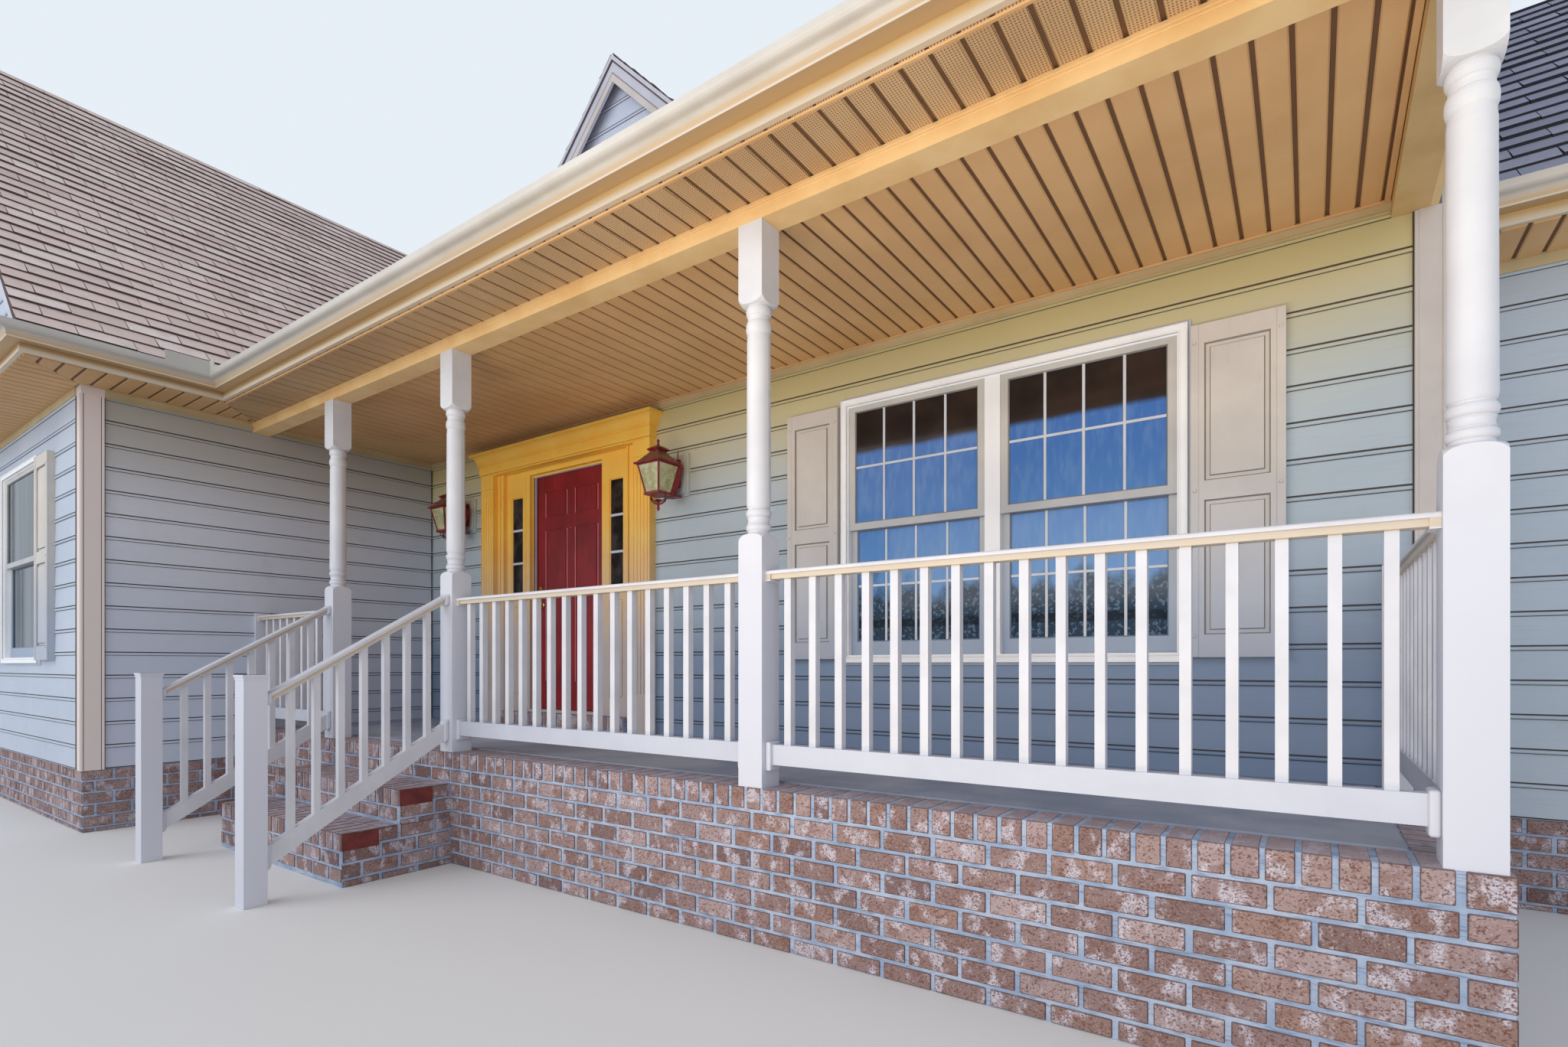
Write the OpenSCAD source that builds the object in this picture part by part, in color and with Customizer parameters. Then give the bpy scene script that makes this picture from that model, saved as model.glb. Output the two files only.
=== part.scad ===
// Front porch of a siding house: brick base and steps, four turned posts, railings,
// beam, panelled ceiling, eave with gutter, and the house front with its door and window,
// between a gabled wing on the left and a set-back annex on the right.
// Millimetres, +Z up, +Y into the house. The origin lies on the ground, on the line of
// the posts, halfway between the two posts at the steps.

/* [Posts] */
// Side of the square parts of a post
post_w = 127; // [100:1:150]
// Clear spacing of the two posts at the steps, centre to centre
stair_bay = 1506; // [1300:1:1800]
// Spacing of the posts along the railings, centre to centre
rail_bay = 2328; // [1800:1:2800]
// Height at which a post's square foot turns round, above the porch floor
foot_block_h = 1060; // [1000:1:1100]
// Height of the square block at the head of a post
head_block_h = 310; // [250:1:350]
// Radius of the turned shaft
shaft_r = 54; // [45:0.5:58]
// Radius of the turned beads
bead_r = 56; // [48:0.5:60]
// Radius of the coves and necks between the beads
neck_r = 47; // [38:0.5:50]

/* [Base] */
// Height of the brick base above the ground
base_h = 665; // [500:1:800]
// Thickness of the brick walls of the base
brick_t = 194; // [150:1:250]
// How far the brick face stands out past the posts
brick_reveal = 6; // [0:1:20]
// How far the brick end stands out past the corner post
brick_end_reveal = 11; // [0:1:30]
// How far the concrete floor stands above the bricks
slab_proud = 7; // [3:1:15]
// Thickness of the concrete floor
slab_t = 132; // [100:1:200]
// Depth of the porch from the posts' centre line to the wall
porch_d = 1494; // [1200:1:1800]

/* [Steps] */
// Height of the lower step above the ground
step_1_h = 284; // [200:1:330]
// Rise from the lower step to the upper step
step_2_rise = 195; // [150:1:200]
// Depth of each tread
tread_d = 313; // [280:1:330]

/* [Walls] */
// Thickness of the house walls
wall_t = 116; // [110:1:200]
// Room in front of the walls for the siding
siding_t = 14; // [8:1:25]
// Depth of the house behind the face of the porch wall
house_d = 2606; // [2400:1:3000]
// Distance from the face of the wing's side wall to its ridge
wing_half_w = 2984; // [2950:1:3300]
// Distance of the annex's front wall behind the porch wall
annex_back = 960; // [700:1:1200]
// Length of the annex's front wall
annex_w = 1488; // [800:1:2000]
// Distance from the left post to the face of the wing
wing_gap = 1331; // [900:1:1400]
// How far the wing stands forward of the posts
wing_front = 1111; // [800:1:1400]
// Height of the wing's brick base
wing_base_h = 441; // [400:1:600]
// How far the house wall runs past the corner post's centre
wall_past_post = 103; // [70:1:200]
// Width of the wing's corner board
wing_corner_w = 129; // [80:1:150]
// Width of the corner board at the house corner
corner_w = 104; // [80:1:150]
// Thickness of the corner boards and friezes
trim_t = 25; // [18:1:40]

/* [Eave] */
// Height of the beam's underside above the ground
beam_z = 3105; // [2900:1:3300]
// Height of the beam
beam_h = 200; // [150:1:300]
// Height of the ceiling above the beam's underside
ceiling_up = 81; // [50:1:120]
// Height of the soffit above the beam's underside
soffit_up = 81; // [60:1:120]
// Height of the frieze under the ceiling
frieze_h = 62; // [40:1:90]
// Thickness of the ceiling and soffit panels
panel_t = 12; // [8:1:20]
// Overhang of the eave in front of the posts or the wing
overhang = 347.5; // [250:1:450]
// Thickness of the fascia board
fascia_t = 21; // [18:1:30]
// Height of the fascia board
fascia_h = 156; // [120:1:200]
// Rise of the porch roof for each unit of run
porch_slope = 0.6667; // [0.4:0.01:0.9]
// Rise of the wing roof for each unit of run
wing_slope = 1; // [0.8:0.01:1.1]
// Thickness of the roofs, measured upright
roof_t = 45; // [35:1:70]
// How far the roofs stand out past the fascia
drip = 19; // [10:1:30]
// Thickness of the board that closes the gable end
gable_t = 27; // [18:1:40]
// Overhang of the wing's eave beside its wall
wing_overhang = 420; // [300:1:500]
// Overhang of the wing's eave in front of its wall
wing_over = 373; // [250:1:450]
// Rise of the pent roof over the wing's front eave for each unit of run
pent_slope = 0.5; // [0.3:0.05:0.7]
// Height of the boards along the gables' slopes, measured upright
rake_h = 156; // [120:1:200]
// Overhang of the annex's eave in front of its wall
annex_over = 414; // [300:1:500]
// Rise of the annex's roof for each unit of run
annex_slope = 1; // [0.8:0.05:1.2]
// Middle of the dormer gable, from the middle of the steps
dormer_x = 612; // [400:1:800]
// Height of the dormer's ridge above the ground
dormer_peak = 5934; // [5700:1:6100]
// Rise of the dormer's roof for each unit of run
dormer_slope = 1; // [0.9:0.05:1.1]
// Overhang of the dormer's roof in front of its wall
dormer_over = 104; // [60:1:200]

/* [Gutter] */
// Width of the gutter at its mouth
gutter_w = 127; // [110:1:140]
// Width of the gutter's flat bottom
gutter_floor = 69; // [60:1:80]
// Height of the gutter
gutter_h = 95; // [80:1:110]
// Thickness of the gutter's metal
gutter_t = 2.5; // [2:0.5:4]
// Height of the gutter's bottom above the soffit
gutter_up = 59; // [40:1:70]
// Height of the splash guards in the gutter's corner
splash_h = 70; // [50:1:90]
// Length of the longer splash guard
splash_l = 260; // [150:1:350]

/* [Railing] */
// Height of the railing above the brick base
rail_top_h = 935; // [860:1:1070]
// Width of the handrail
handrail_w = 76; // [60:1:90]
// Height of the handrail's rounded cap
handrail_cap_h = 16; // [15:1:25]
// Height of the narrower rail under the cap
sub_rail_h = 22; // [20:1:40]
// Width of the narrower rail under the cap
sub_rail_w = 56; // [40:1:60]
// Height of the bottom rail
bottom_rail_h = 87; // [70:1:100]
// Width of the bottom rail
bottom_rail_w = 44; // [36:1:60]
// Gap between the brick base and the bottom rail
bottom_gap = 100; // [60:1:110]
// Side of a square baluster
baluster_w = 33; // [28:1:40]
// Spacing of the balusters along the level railings
baluster_pitch = 125; // [100:1:140]
// Balusters in each long bay
bay_balusters = 17; // [14:1:19]
// Balusters in the short bay beside the wing
short_balusters = 9; // [6:1:10]
// Balusters in the side railing
side_balusters = 10; // [8:1:12]
// Spacing of the balusters along the stair railings
stair_pitch = 122; // [100:1:140]
// Rise of the stair railings for each unit of run
stair_slope = 0.595; // [0.5:0.005:0.7]
// Height of the stair railings above the brick base, at the posts
stair_rail_top = 957; // [900:1:1000]
// Balusters in each stair railing
stair_balusters = 7; // [6:1:8]
// Length of the bracket at each end of a rail
bracket_l = 24; // [15:1:40]
// Side of a stair newel
newel_w = 104; // [90:1:120]
// Height of a stair newel above the ground
newel_h = 1145; // [1050:1:1250]
// Distance from the posts' centre line to the newels' centres
newel_d = 1092; // [900:1:1200]
// Thickness of the half post where a railing meets a wall
half_post_t = 38; // [30:1:60]

/* [Door] */
// Centre of the doorway, from the middle of the steps
door_x = -82; // [-150:1:150]
// Width of the door leaf
door_w = 914; // [760:1:920]
// Height of the door leaf
door_h = 2032; // [1950:1:2080]
// Thickness of the door leaf
door_t = 44; // [35:1:50]
// Gap round the door leaf
door_gap = 7; // [5:0.5:8]
// Half the width of the opening for door and sidelights
entry_half = 787; // [750:1:850]
// Height of the brick sill
sill_h = 113; // [100:1:150]
// Height of the threshold on the sill
threshold_h = 23; // [15:1:35]
// How far the sill stands out from the siding
sill_out = 60; // [50:1:120]
// Thickness of the frame's head
frame_head_t = 44; // [30:1:60]
// Width of the two frame posts beside the door
frame_post_w = 51; // [51:1:100]
// Width of the frame's outer jambs
outer_jamb_w = 32; // [25:1:45]
// Depth of the door frame
frame_d = 116; // [100:1:150]
// Thickness of the stops that the door closes against
stop_t = 14; // [8:1:15]
// Height of the door knob above the ground
knob_z = 1717; // [1600:1:1800]
// Distance of the sidelights' face in front of the wall face
light_out = 4; // [0:1:20]
// Thickness of the sidelights
light_t = 40; // [30:1:50]
// Width of the sidelights' stiles
light_stile = 40; // [30:1:50]
// Height of the solid panel under the sidelights' panes
light_panel_h = 992; // [800:1:1100]
// Height of the sidelights' top rail, from the frame's head to the panes
light_top_h = 176; // [100:1:220]
// Width of each pilaster's raised face
pilaster_face_w = 180; // [140:1:220]
// Width of the casing and pilaster together
pilaster_w = 285; // [200:1:285]
// Thickness of each pilaster
pilaster_t = 60; // [30:1:60]
// How far the crown stands out from the pilasters
crown_out = 66; // [50:1:80]

/* [Window] */
// Distance of the window's centre from the corner post's centre
window_inset = 1804; // [1700:1:1850]
// Width of the window over its casing
window_w = 1944; // [1500:1:2000]
// Height of the window over its casing
window_h = 1648; // [1400:1:1700]
// Height of the window's lower edge above the ground
window_z = 1207; // [1100:1:1300]
// Width of the window casing
casing_w = 40; // [30:1:60]
// Thickness of the window casing
casing_t = 35; // [25:1:50]
// Width of the post between the two windows
mullion_w = 88; // [60:1:100]
// Thickness of the frame that lines the window's opening
window_frame_t = 8; // [6:1:20]
// Width of a sash's upright bars and of its bar at the meeting line
sash_w = 42; // [35:1:60]
// Height of the upper sash's top bar
sash_head = 30; // [25:1:60]
// Height of the lower sash's bottom bar
sash_foot = 84; // [60:1:100]
// How far the upper sash stands out from the wall
sash_out = 12; // [0:1:15]
// Thickness of a sash
sash_t = 30; // [25:1:40]
// Thickness of the glass
glass_t = 6; // [4:1:10]
// Width of a shutter
shutter_w = 382; // [300:1:450]
// Thickness of a shutter
shutter_t = 40; // [30:1:50]
// Gap between the window casing and a shutter
shutter_gap = 14; // [10:1:60]
// Width of a shutter's outer boards
shutter_stile = 58; // [40:1:80]
// Distance of the wing window's centre from the face of the wing's side wall
wing_window_inset = 1725; // [1700:1:1760]
// Width of the wing's window over its casing
wing_window_w = 1248; // [1000:1:1300]
// Gap between the wing window's casing and its shutters
wing_shutter_gap = 38; // [10:1:60]

/* [Lanterns] */
// Distance of each lantern from the doorway's centre
lantern_x = 1330; // [1200:1:1450]
// Height of the lantern's arm above the ground
lantern_z = 2600; // [2400:1:2650]
// Distance of the lantern's axis from the wall
lantern_out = 244; // [150:1:260]
// Width of the lantern's roof
lantern_w = 244; // [180:1:280]

/* [Hidden] */
$fn = 48;

// Places worked out from the sizes above
post_half = post_w / 2;
post_xs = [-stair_bay / 2, stair_bay / 2, stair_bay / 2 + rail_bay, stair_bay / 2 + 2 * rail_bay];
corner_x = post_xs[3];
wing_x = post_xs[0] - wing_gap;
wing_back_x = wing_x - wall_t;
wall_y = porch_d;
wall_back = wall_y + wall_t;
wall_end = corner_x + wall_past_post;
base_front = -post_half - brick_reveal;
base_end = corner_x + post_half + brick_end_reveal;
slab_top = base_h + slab_proud;
upper_step_front = base_front - tread_d;
lower_step_front = base_front - 2 * tread_d;
step_half = stair_bay / 2 + post_half;
ceiling_z = beam_z + ceiling_up;
soffit_z = beam_z + soffit_up;
fascia_front = -post_half - overhang;
fascia_top = soffit_z + fascia_h;
wing_fascia_x = wing_x + siding_t + wing_overhang;
eave_end = corner_x + post_half;
roof_end = wall_end + siding_t;
wing_end = -wing_front - wing_over;
wing_fascia_y = wing_end - fascia_t;
ridge_x = wing_x - wing_half_w;
party_x = ridge_x - wall_t;
back_y = wall_y + house_d;
annex_y = wall_y + annex_back;
annex_end = wall_end + annex_w;
annex_front = annex_y - annex_over;
gutter_z = soffit_z + gutter_up;
window_x = corner_x - window_inset;
wing_window_x = wing_x - wing_window_inset;
// Clearance between a sloping roof and what carries it
seat = 0.3;
// Small overlap that lets a cutting shape pass clean through
cut = 1;

brick_color = "tan";
white = "white";
cream = "moccasin";
siding_color = "lightsteelblue";
beige = "antiquewhite";

// A box given by its lowest and highest corners
module block(low, high) {
  translate(low) cube(high - low);
}

// A profile drawn in the Y-Z plane and carried along X from x0 to x1
module along_x(x0, x1) {
  translate([x0, 0, 0]) rotate([90, 0, 90]) linear_extrude(x1 - x0) children();
}

// A profile drawn in the X-Z plane and carried along Y from y0 to y1
module along_y(y0, y1) {
  translate([0, y1, 0]) rotate([90, 0, 0]) linear_extrude(y1 - y0) children();
}

// Points on an arc, from angle a0 to a1
function arc(cx, cz, rx, rz, a0, a1, steps = 6) =
  [for (i = [0:steps]) let (a = a0 + (a1 - a0) * i / steps) [cx + rx * cos(a), cz + rz * sin(a)]];

// Brick base and steps
module front_base() {
  color(brick_color) block([wing_x, base_front, 0], [base_end, base_front + brick_t, base_h]);
}
module side_base() {
  color(brick_color)
    block([base_end - brick_t, base_front + brick_t, 0], [base_end, wall_y, base_h]);
}
module floor_slab() {
  color("silver") {
    block([wing_x, base_front + brick_t, slab_top - slab_t], [base_end - brick_t, wall_y, slab_top]);
    block([wing_x, wall_back, sill_z - slab_t], [wall_end - wall_t, back_y - wall_t, sill_z]);
  }
}
module lower_step() {
  color(brick_color) block([-step_half, lower_step_front, 0], [step_half, base_front, step_1_h]);
}
module upper_step() {
  color(brick_color)
    block([-step_half, upper_step_front, step_1_h], [step_half, base_front, step_1_h + step_2_rise]);
}
module foundation() {
  color(brick_color) {
    block([wing_x, wall_y, 0], [wall_end, wall_back, slab_top]);
    block([wall_end - wall_t, wall_back, 0], [wall_end, back_y, slab_top]);
    block([wing_back_x, -wing_front, 0], [wing_x, wall_back, wing_base_h]);
    block([ridge_x, -wing_front, 0], [wing_back_x, -wing_front + wall_t, wing_base_h]);
    block([wall_end, annex_y, 0], [annex_end, annex_y + wall_t, wing_base_h]);
  }
}

// House walls, split beside and over the doorway
entry_x0 = door_x - entry_half;
entry_x1 = door_x + entry_half;
win_x0 = window_x - window_w / 2 + casing_w;
win_x1 = window_x + window_w / 2 - casing_w;
win_z0 = window_z + casing_w;
win_z1 = window_z + window_h - casing_w;
function porch_under(y) = fascia_top + porch_slope * (y - fascia_front);
function wing_under(x) = fascia_top + wing_slope * (wing_fascia_x - x);
function annex_under(y) = fascia_top + annex_slope * (y - annex_front);
function roof_top(y) = porch_under(y) + roof_t;

// A length of the house wall, from height z0 up to the underside of the roof
module wall_length(x0, x1, z0) {
  along_x(x0, x1)
    polygon([[wall_y, z0], [wall_back, z0], [wall_back, porch_under(wall_back) - seat],
      [wall_y, porch_under(wall_y) - seat]]);
}
module wall_left() {
  color(siding_color) wall_length(wing_x, entry_x0, slab_top);
}
module wall_over_door() {
  color(siding_color) wall_length(entry_x0, entry_x1, entry_head);
}
module wall_right() {
  color(siding_color) difference() {
    wall_length(entry_x1, wall_end, slab_top);
    block([win_x0, wall_y - cut, win_z0], [win_x1, wall_back + cut, win_z1]);
  }
}
// The room under the main roof and the wing's roof, whichever is higher
module under_roofs() {
  z = fascia_top - seat;
  far_y = back_y + cut;
  near_x = wall_end + cut;
  along_x(ridge_x - cut, near_x)
    polygon([[fascia_front, 0], [far_y, 0], [far_y, porch_under(far_y) - seat], [fascia_front, z]]);
  along_y(-wing_front - cut, far_y)
    polygon([[ridge_x - cut, 0], [wing_fascia_x, 0], [wing_fascia_x, z],
      [ridge_x - cut, wing_under(ridge_x - cut) - seat]]);
}
module wing_wall() {
  color(siding_color) intersection() {
    block([wing_back_x, -wing_front, wing_base_h], [wing_x, wall_back, 3 * fascia_top]);
    under_roofs();
  }
}
wing_win_x0 = wing_window_x - wing_window_w / 2 + casing_w;
wing_win_x1 = wing_window_x + wing_window_w / 2 - casing_w;
module wing_front_wall() {
  y1 = -wing_front + wall_t;
  color(siding_color) difference() {
    along_y(-wing_front, y1)
      polygon([[ridge_x, wing_base_h], [wing_back_x, wing_base_h],
        [wing_back_x, wing_under(wing_back_x) - seat], [ridge_x, wing_under(ridge_x) - seat]]);
    block([wing_win_x0, -wing_front - cut, win_z0], [wing_win_x1, y1 + cut, win_z1]);
  }
}
// The side wall of the house behind the porch, and the annex's front wall
module annex_wall() {
  y1 = annex_y + wall_t;
  color(siding_color) {
    along_x(wall_end, annex_end)
      polygon([[annex_y, wing_base_h], [y1, wing_base_h], [y1, annex_under(y1) - seat],
        [annex_y, annex_under(annex_y) - seat]]);
    along_x(wall_end - wall_t, wall_end)
      polygon([[wall_back, slab_top], [back_y, slab_top], [back_y, porch_under(back_y) - seat],
        [wall_back, porch_under(wall_back) - seat]]);
  }
}
// Plain walls where the house runs on past what is modelled
module party_walls() {
  y0 = back_y - wall_t;
  y1 = annex_y + wall_t;
  color("gainsboro") {
    block([party_x, -wing_front, 0], [ridge_x, back_y, wing_under(ridge_x) + roof_t]);
    intersection() {
      block([ridge_x, y0, 0], [wall_end - wall_t, back_y, 3 * fascia_top]);
      under_roofs();
    }
    along_x(annex_end - wall_t, annex_end)
      polygon([[y1, 0], [back_y, 0], [back_y, annex_under(back_y) - seat], [y1, annex_under(y1) - seat]]);
    along_x(wall_end, annex_end - wall_t)
      polygon([[y0, 0], [back_y, 0], [back_y, annex_under(back_y) - seat], [y0, annex_under(y0) - seat]]);
  }
}

// Turned posts: the square blank is cut back by one turned outline
foot_z = base_h + foot_block_h;
head_z = beam_z - head_block_h;
blank_r = post_half * sqrt(2) + 2;
shoulder_h = 40;
module post_outline() {
  polygon(concat(
    [[0, base_h], [blank_r, base_h], [blank_r, foot_z]],
    arc(neck_r, foot_z, blank_r - neck_r, shoulder_h, 15, 85, 5),
    [[neck_r, foot_z + shoulder_h + 12]],
    arc(neck_r, foot_z + 67, bead_r - neck_r, 14, -85, 85),
    arc(neck_r + 6, foot_z + 98, 6, 14, 250, 110, 5),
    arc(neck_r, foot_z + 131, bead_r - neck_r, 16, -85, 85),
    [[neck_r + 1, foot_z + 149]],
    arc(shaft_r - 8, foot_z + 176, 8, 24, -80, 0, 4),
    [[shaft_r - 2, head_z - 190], [neck_r + 3, head_z - 166]],
    arc(neck_r + 1, head_z - 132, bead_r - neck_r - 1, 28, -85, 85),
    [[neck_r + 1, head_z - 92]],
    arc(neck_r + 1, head_z - 62, bead_r - neck_r - 1, 20, -85, 85),
    arc(neck_r, head_z, blank_r - neck_r, shoulder_h, -85, -15, 5),
    [[blank_r, head_z], [blank_r, beam_z], [0, beam_z]]));
}
module posts() {
  color(white) for (x = post_xs) translate([x, 0, 0]) intersection() {
    block([-post_half, -post_half, base_h], [post_half, post_half, beam_z]);
    rotate_extrude() post_outline();
  }
}

// Railings
rail_top = base_h + rail_top_h;
sub_rail_z = rail_top - handrail_cap_h - sub_rail_h;
bottom_rail_z = base_h + bottom_gap;
bracket_lip = 8;
// Cross-section of the handrail, with the middle of its top at the origin
module handrail_outline() {
  cap_round = handrail_cap_h * 0.6;
  polygon(concat(
    [[-sub_rail_w / 2, -handrail_cap_h - sub_rail_h], [sub_rail_w / 2, -handrail_cap_h - sub_rail_h],
      [sub_rail_w / 2, -handrail_cap_h], [handrail_w / 2, -handrail_cap_h]],
    arc(handrail_w / 2 - cap_round, -cap_round, cap_round, cap_round, 0, 90, 4),
    arc(-handrail_w / 2 + cap_round, -cap_round, cap_round, cap_round, 90, 180, 4),
    [[-handrail_w / 2, -handrail_cap_h], [-sub_rail_w / 2, -handrail_cap_h]]));
}
// A level railing that runs along +X from the origin, with its balusters centred on it
module level_railing(length, count) {
  bottom_top = bottom_rail_z + bottom_rail_h;
  first = length / 2 - (count - 1) * baluster_pitch / 2;
  along_x(0, length) translate([0, rail_top]) handrail_outline();
  block([0, -bottom_rail_w / 2, bottom_rail_z], [length, bottom_rail_w / 2, bottom_top]);
  for (i = [0:count - 1])
    block([first + i * baluster_pitch - baluster_w / 2, -baluster_w / 2, bottom_top - cut],
      [first + i * baluster_pitch + baluster_w / 2, baluster_w / 2, sub_rail_z + cut]);
  for (x = [0, length - bracket_l]) {
    block([x, -sub_rail_w / 2 - bracket_lip, sub_rail_z - bracket_lip],
      [x + bracket_l, sub_rail_w / 2 + bracket_lip, rail_top - handrail_cap_h]);
    block([x, -bottom_rail_w / 2 - bracket_lip, bottom_rail_z - bracket_lip],
      [x + bracket_l, bottom_rail_w / 2 + bracket_lip, bottom_top + bracket_lip]);
  }
}
side_rail_x = wall_end + siding_t - corner_w - 4 - handrail_w / 2;
module level_railings() {
  short_x = wing_x + half_post_t;
  color(white) {
    translate([short_x, 0, 0]) level_railing(post_xs[0] - post_half - short_x, short_balusters);
    for (i = [1, 2]) translate([post_xs[i] + post_half, 0, 0])
      level_railing(post_xs[i + 1] - post_xs[i] - post_w, bay_balusters);
    translate([side_rail_x, post_half, 0]) rotate([0, 0, 90])
      level_railing(wall_y - half_post_t - post_half, side_balusters);
  }
}
module half_posts() {
  half = newel_w / 2;
  top = rail_top + 20;
  end = side_rail_x + handrail_w / 2;
  color(white) {
    block([wing_x, -half, base_h], [wing_x + half_post_t, half, top]);
    block([end - newel_w, wall_y - half_post_t, base_h], [end, wall_y, top]);
  }
}

// Stair railings slope from the newels up to the posts
newel_back = -newel_d + newel_w / 2;
stair_run = -post_half - newel_back;
stair_rise = stair_slope * stair_run;
// One sloping bar: an upright outline carried sideways, from z_low to z_high at the newel
module slope_bar(width, z_low, z_high) {
  along_x(-width / 2, width / 2)
    polygon([[newel_back, z_low], [-post_half, z_low + stair_rise],
      [-post_half, z_high + stair_rise], [newel_back, z_high]]);
}
module stair_railing() {
  upright = sqrt(1 + stair_slope * stair_slope);
  top_z = base_h + stair_rail_top - stair_rise;
  cap_z = top_z - handrail_cap_h * upright;
  sub_z = cap_z - sub_rail_h * upright;
  foot_top = base_h + bottom_gap + bottom_rail_h - stair_rise;
  foot_low = foot_top - bottom_rail_h * upright;
  first = (newel_back - post_half) / 2 - (stair_balusters - 1) * stair_pitch / 2;
  slope_bar(handrail_w, cap_z, top_z);
  slope_bar(sub_rail_w, sub_z, cap_z);
  slope_bar(bottom_rail_w, foot_low, foot_top);
  for (i = [0:stair_balusters - 1]) {
    y0 = first + i * stair_pitch - baluster_w / 2;
    y1 = y0 + baluster_w;
    rise_0 = stair_slope * (y0 - newel_back);
    rise_1 = stair_slope * (y1 - newel_back);
    along_x(-baluster_w / 2, baluster_w / 2)
      polygon([[y0, foot_top + rise_0 - cut], [y1, foot_top + rise_1 - cut],
        [y1, sub_z + rise_1 + cut], [y0, sub_z + rise_0 + cut]]);
  }
}
module stair_railings() {
  color(white) for (side = [-1, 1]) translate([side * stair_bay / 2, 0, 0]) stair_railing();
}
module newels() {
  cap = 6;
  half = newel_w / 2;
  color(white) for (side = [-1, 1]) translate([side * stair_bay / 2, -newel_d, 0]) {
    block([-half, -half, 0], [half, half, newel_h - 12]);
    block([-half - cap, -half - cap, newel_h - 12], [half + cap, half + cap, newel_h]);
  }
}

// Beams, ceiling and gable end
module front_beam() {
  color(cream) block([wing_x, -post_half, beam_z], [eave_end, post_half, beam_z + beam_h]);
}
module side_beam() {
  color(cream) block([corner_x - post_half, post_half, beam_z], [eave_end, wall_y, beam_z + beam_h]);
}
module gable_board() {
  color(cream) along_x(eave_end, eave_end + gable_t)
    polygon([[fascia_front, soffit_z], [-post_half, soffit_z], [-post_half, beam_z], [wall_y, beam_z],
      [wall_y, porch_under(wall_y) - seat], [fascia_front, fascia_top - seat]]);
}
module ceiling() {
  color("tan")
    block([wing_x, post_half, ceiling_z], [corner_x - post_half, wall_y, ceiling_z + panel_t]);
}
module friezes() {
  z = ceiling_z - frieze_h;
  color(cream) {
    block([wing_x + trim_t, wall_y - trim_t, z], [corner_x - post_half, wall_y, ceiling_z]);
    block([wing_x, -wing_front - siding_t + wing_corner_w, soffit_z - frieze_h],
      [wing_x + trim_t, -post_half, soffit_z]);
    block([wing_x, post_half, z], [wing_x + trim_t, wall_y, ceiling_z]);
    block([ridge_x, -wing_front - trim_t, soffit_z - frieze_h], [wing_x - 90, -wing_front, soffit_z]);
    block([wall_end + trim_t, annex_y - trim_t, soffit_z - frieze_h], [annex_end, annex_y, soffit_z]);
  }
}

// Eave
module soffit() {
  x1 = wing_fascia_x - fascia_t;
  y1 = fascia_front + fascia_t;
  color("tan") translate([0, 0, soffit_z]) linear_extrude(panel_t) {
    polygon([[party_x, wing_end], [x1, wing_end], [x1, y1], [eave_end, y1], [eave_end, -post_half],
      [wing_x, -post_half], [wing_x, -wing_front], [party_x, -wing_front]]);
    polygon([[wall_end, annex_front + fascia_t], [annex_end, annex_front + fascia_t],
      [annex_end, annex_y], [wall_end, annex_y]]);
  }
}
module fascia() {
  color(beige) {
    block([wing_fascia_x, fascia_front, soffit_z], [eave_end, fascia_front + fascia_t, fascia_top]);
    block([wing_fascia_x - fascia_t, wing_end, soffit_z],
      [wing_fascia_x, fascia_front + fascia_t, fascia_top]);
    block([party_x, wing_fascia_y, soffit_z], [wing_fascia_x, wing_end, fascia_top]);
    block([wall_end, annex_front, soffit_z], [annex_end, annex_front + fascia_t, fascia_top]);
  }
}

// Gutter outline: x outwards from the fascia, y up from the gutter's bottom
lip_h = 12;
function gutter_face(inset) = concat(
  [[gutter_floor - inset, inset]],
  arc(gutter_floor + 26 - inset, 24 + inset, 22, 24, 180, 100, 5),
  arc(gutter_w - 26 - inset, gutter_h - 26 + inset, 26, 20, 280, 360, 5));
module gutter_solid() {
  polygon(concat([[0, gutter_h], [0, 0]], gutter_face(0), [[gutter_w, gutter_h]]));
}
module gutter_outline() {
  inner = gutter_face(gutter_t);
  polygon(concat([[0, gutter_h], [0, 0]], gutter_face(0),
    [[gutter_w, gutter_h], [gutter_w - lip_h, gutter_h], [gutter_w - lip_h, gutter_h - gutter_t],
      [gutter_w - gutter_t, gutter_h - gutter_t]],
    [for (i = [len(inner) - 1:-1:0]) inner[i]],
    [[gutter_t, gutter_t], [gutter_t, gutter_h]]));
}
// A run along X at the fascia's face y, from x0 to x1, with an end plate at x1
module gutter_run_x(x0, x1, y) {
  translate([0, y, gutter_z]) mirror([0, 1, 0]) along_x(x0, x1) gutter_outline();
  translate([0, y, gutter_z]) mirror([0, 1, 0]) along_x(x1 - gutter_t, x1) gutter_solid();
}
module gutter_run_y(y0, y1) {
  translate([wing_fascia_x, 0, gutter_z]) along_y(y0, y1) gutter_outline();
}
// A triangle of the plan to be cut away, from a corner of the fascia
module mitre_cut(x, y, points) {
  translate([x, y, gutter_z - cut]) linear_extrude(gutter_h + 2 * cut) polygon(points);
}
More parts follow.
